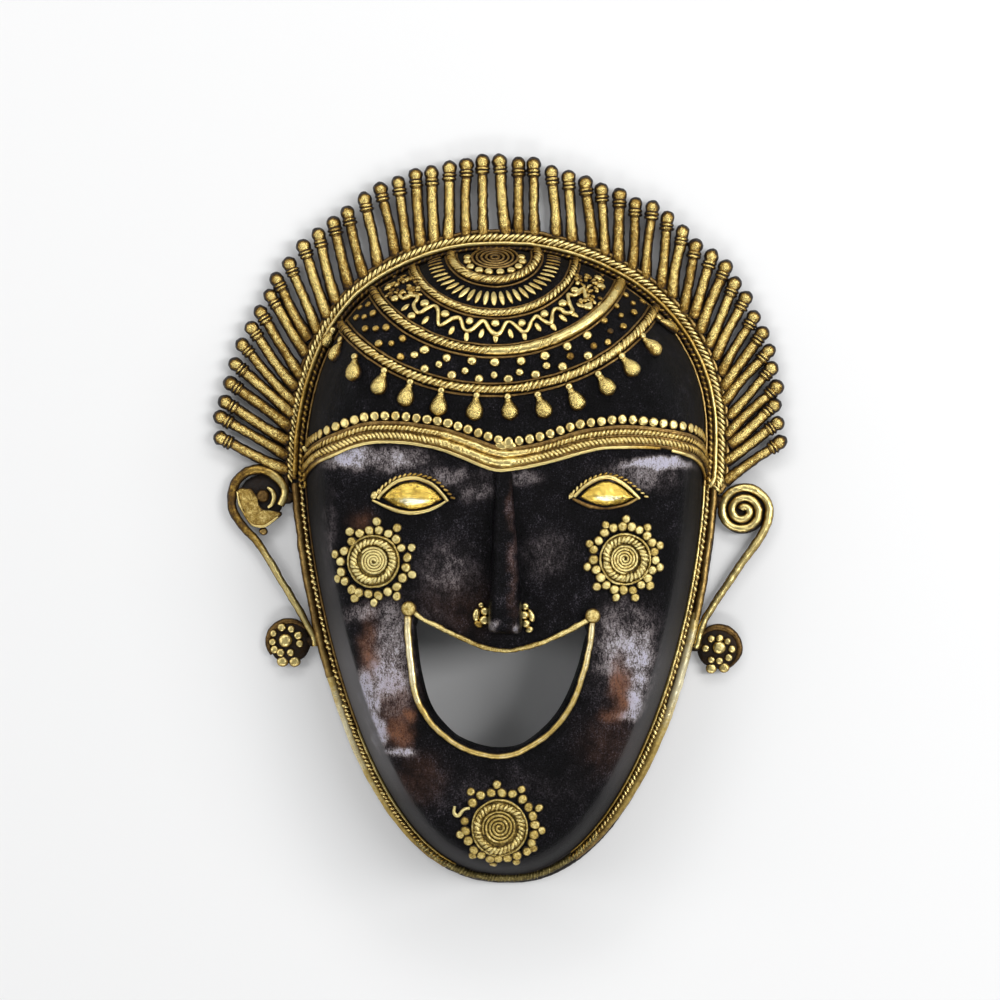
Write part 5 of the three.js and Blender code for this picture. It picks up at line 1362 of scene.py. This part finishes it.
left_rod = smooth_line([(-64.5, -44.5), (-64.9, -42.0), (-66.8, -37.8), (-71.4, -29.8), (-78.4, -18.0),
                        (-84.3, -8.9), (-90.6, -1.4), (-93.4, 4.2), (-93.0, 10.6), (-90.3, 14.8),
                        (-85.6, 17.2), (-80.4, 16.2), (-76.2, 12.6), (-75.0, 8.4), (-76.6, 4.6)], 0.6)
left_run = run_of(at_height(left_rod, EAR_HEIGHT), [1.2, 1.3, 1.3, 1.3, 1.35, 1.5, 1.65, 1.7, 1.75, 1.7, 1.4],
                  step=0, shine=[0.9, 1.15, 1.2, 1.2, 0.8, 0.5, 0.4, 0.4, 0.55, 0.9, 1.0], wander=0.1,
                  sway=0.2, seed=171)
threads("left_ear_wire", [left_run], bright_brass, sides=14, low=0.2, high=0.95, rough=0.12, lump=1.3)


def ear_granules(name, rows, finish, **more):
    """Lumps of wax that face up: rows of x, y, z, size along, across and up, and shine."""
    rows = np.array(rows, float)
    up, along = np.tile((0, 0, 1.0), (len(rows), 1)), np.tile((1.0, 0, 0), (len(rows), 1))
    granules_at(name, rows[:, :3], up, along, rows[:, 3:6], rows[:, 6], finish, **more)


# Each cup: its middle, the turns where its rim wire starts and ends, its middle granule, the ring of small
# granules round that, and the two granules that hang below.
EAR_CUPS = {
    "right": ((76.2, -45.3), (165, -60), (76.4, -45.0, 2.3),
              [(73.7, -42.0, 1.2), (76.7, -41.8, 1.25), (79.3, -42.8, 1.15), (80.9, -45.5, 1.2),
               (79.7, -48.5, 1.2), (76.5, -49.6, 1.15), (73.7, -49.3, 1.1), (71.7, -45.3, 1.15)],
              [(73.8, -52.3, 2.0), (78.2, -52.0, 2.0)]),
    "left": ((-73.5, -43.2), (215, 40), (-74.8, -42.5, 2.4),
             [(-76.1, -38.0, 1.3), (-72.8, -38.6, 1.2), (-70.4, -40.8, 1.35), (-69.9, -43.6, 1.2),
              (-79.0, -40.1, 1.1), (-79.3, -43.0, 1.15), (-78.6, -45.6, 1.25), (-76.5, -46.7, 1.3),
              (-73.0, -46.7, 1.2)],
             [(-75.9, -49.9, 2.05), (-71.7, -49.9, 2.1)])}
CUP_HALF_WIDTH, CUP_HALF_HEIGHT = 7.4, 7.3
cup_dark = rubbed_brass("cup_brass", [(0.05, (0.006, 0.004, 0.004)), (0.5, (0.03, 0.018, 0.01)),
                                      (0.9, (0.25, 0.15, 0.05))], (0.6, 0.42), 0.5, 0.5)
for side_name, ((cx, cy), (first, last), (big_x, big_y, big), small, lower) in EAR_CUPS.items():
    ear_granules(side_name + "_ear_cup", [(cx, cy, 2.15, CUP_HALF_WIDTH, CUP_HALF_HEIGHT, 1.95, 0.35)],
                 cup_dark, fineness=4, rubbed_top=0.7, rough=0.15)
    turn = np.radians(np.linspace(first, last, 60))
    ring = np.column_stack([cx + CUP_HALF_WIDTH * np.cos(turn), cy + CUP_HALF_HEIGHT * np.sin(turn)])
    ring = run_of(at_height(ring, 2.4), [0.7, 1.15, 1.3, 1.2, 0.6], step=0, shine=[0.4, 0.6, 0.65, 0.6, 0.4],
                  wander=0.12, seed=175)
    threads(side_name + "_cup_rim", [ring], brown_brass, rough=0.1)
    rows = [(big_x, big_y, 4.2, big, big, 1.6, 1.0)]
    rows += [(x, y, 3.7, r * 1.15, r * 1.15, 1.2, 0.95) for x, y, r in small]
    rows += [(x, y, 2.2, r, r * 0.95, 1.9, 0.9) for x, y, r in lower]
    ear_granules(side_name + "_cup_granules", rows, bright_brass, fineness=3, rubbed_top=0.75, rough=0.09)
ear_granules("ear_webs", [(84.8, 3.0, 1.65, 8.6, 8.4, 1.2, 0.2), (-83.4, 7.0, 1.65, 7.8, 8.4, 1.2, 0.2),
                          (75.8, 6.0, 2.4, 3.0, 2.2, 2.0, 0.5), (68.6, -44.6, 2.3, 2.4, 1.9, 1.9, 0.5),
                          (-74.2, 7.5, 2.4, 2.9, 2.2, 2.0, 0.5), (-65.6, -42.7, 2.3, 2.4, 1.9, 1.9, 0.5)],
             cup_dark, fineness=4, rough=0.25)

# The left scroll's ragged plate: its outline, and its thickness as rings from the middle of its top over its
# edge to the middle of its underside. A thin thread follows its torn edge, its bright polish partly a painted
# highlight along that edge, and a crescent lies in the loop.
plate = smooth_line([(-91.6, 9.9), (-87.6, 10.2), (-84.6, 7.6), (-83.9, 4.2), (-80.4, 2.6), (-76.8, 2.2),
                     (-77.4, 0.6), (-81.6, -2.4), (-84.0, -2.8), (-86.6, -2.0), (-88.9, 1.2), (-90.9, 5.0)],
                    0.8, True)
middle, n = plate.mean(0), len(plate)
rows = [at_height(middle + (plate - middle) * size, height)
        for size, height in [(0.3, 4.0), (0.7, 4.1), (0.95, 4.0), (1.05, 3.4), (1.05, 2.2), (0.9, 1.7),
                             (0.3, 1.7)]]
faces = ring_faces(len(rows), n) + [list(range(n))[::-1], [(len(rows) - 1) * n + k for k in range(n)]]
ragged = mesh_piece("left_ear_plate", np.concatenate(rows), faces)
turn_outwards(ragged, split=True)
smooth(ragged)
ragged.data.materials.append(copper_lip)
face_up(ragged, 0.62)
hand_rub(ragged, low=0.5, high=1.05, rough=0.5, lump=1.6)
torn = smooth_line([(-91.7, 9.4), (-90.9, 5.0), (-88.9, 1.2), (-86.6, -2.0), (-84.0, -2.8), (-81.6, -2.4),
                    (-77.4, 0.6)], 0.6)
# Partly a painted highlight: the torn-edge thread is polished brightest where a thin bright line runs along
# the plate's edge.
torn = run_of(at_height(torn, 3.9), [0.4, 0.5, 0.35, 0.5, 0.55, 0.4], step=0,
              shine=[0.9, 1.1, 0.5, 1.0, 1.1, 0.9], wander=0.15, seed=177)
threads("left_ear_torn_edge", [torn], bright_brass, rough=0.12)
knobs = [(-82.8, 7.9, 2.9, 2.4, 2.5, 1.9, 0.6), (-82.7, -4.6, 2.5, 1.6, 1.3, 1.4, 0.9)]
ear_granules("left_ear_knobs", knobs, brown_brass, fineness=3, rough=0.25)
crescent = smooth_line([(-81.2, 10.9), (-79.4, 9.4), (-78.8, 7.2), (-79.6, 5.0), (-81.0, 3.9)], 0.4)
crescent = run_of(at_height(crescent, 3.4), [0.5, 0.85, 0.9, 0.85, 0.5], step=0, seed=178)
threads("left_ear_crescent", [crescent], bright_brass, rough=0.08)

# Where it is shown: the mask lies on a plain pale table under six soft studio lights and a faint even sky.
# The camera hangs straight above it, as it was in the photo.
TABLE_SIZE, TABLE_DROP, TABLE_GREY = 6, 0.0005, 0.86
bpy.ops.mesh.primitive_plane_add(size=TABLE_SIZE, location=(0, 0, -TABLE_DROP))
table = bpy.context.object
table.name = "pale_table"
pale = bpy.data.materials.new("pale_paper")
pale.use_nodes = True
paper = pale.node_tree.nodes["Principled BSDF"].inputs
paper["Base Color"].default_value = (TABLE_GREY, TABLE_GREY, TABLE_GREY, 1)
paper["Roughness"].default_value = 0.9
table.data.materials.append(pale)

# Each soft box: its place and size in m, and its power in W. All of them face the mask.
LIT_PLACE = (0, 0, 0.02)
SOFT_BOXES = {"right": ((0.75, 0.1, 0.8), (0.3, 0.8), 5.6),
              "left": ((-0.8, 0.05, 0.6), (0.25, 0.8), 2.0),
              "top": ((0.05, 0.85, 0.7), (0.8, 0.25), 2.5),
              "top_left": ((-0.55, 0.65, 0.7), (0.5, 0.25), 1.6),
              "top_right": ((0.6, 0.62, 0.7), (0.5, 0.25), 1.6),
              "low": ((0.0, -0.9, 0.7), (0.8, 0.2), 3.4)}
for name, (place, (wide, high), power) in SOFT_BOXES.items():
    lamp = bpy.data.lights.new(name + "_soft_box", "AREA")
    lamp.shape, lamp.size, lamp.size_y, lamp.energy = "RECTANGLE", wide, high, power
    holder = bpy.data.objects.new(name + "_soft_box", lamp)
    holder.location = place
    away = Vector(place) - Vector(LIT_PLACE)
    holder.rotation_euler = away.to_track_quat("Z", "Y").to_euler()
    bpy.context.scene.collection.objects.link(holder)
world = bpy.data.worlds.new("studio")
world.use_nodes = True
sky = world.node_tree.nodes["Background"].inputs
sky["Color"].default_value = (0.98, 0.99, 1.0, 1)
sky["Strength"].default_value = 0.28
bpy.context.scene.world = world
bpy.context.scene.view_settings.view_transform = "Standard"

CAMERA_PLACE, LENS, SENSOR = (0, 0.006475, 1.1), 113.14, 36
lens = bpy.data.cameras.new("camera")
lens.lens, lens.sensor_width = LENS, SENSOR
camera = bpy.data.objects.new("camera", lens)
camera.location = CAMERA_PLACE
bpy.context.scene.collection.objects.link(camera)
bpy.context.scene.camera = camera
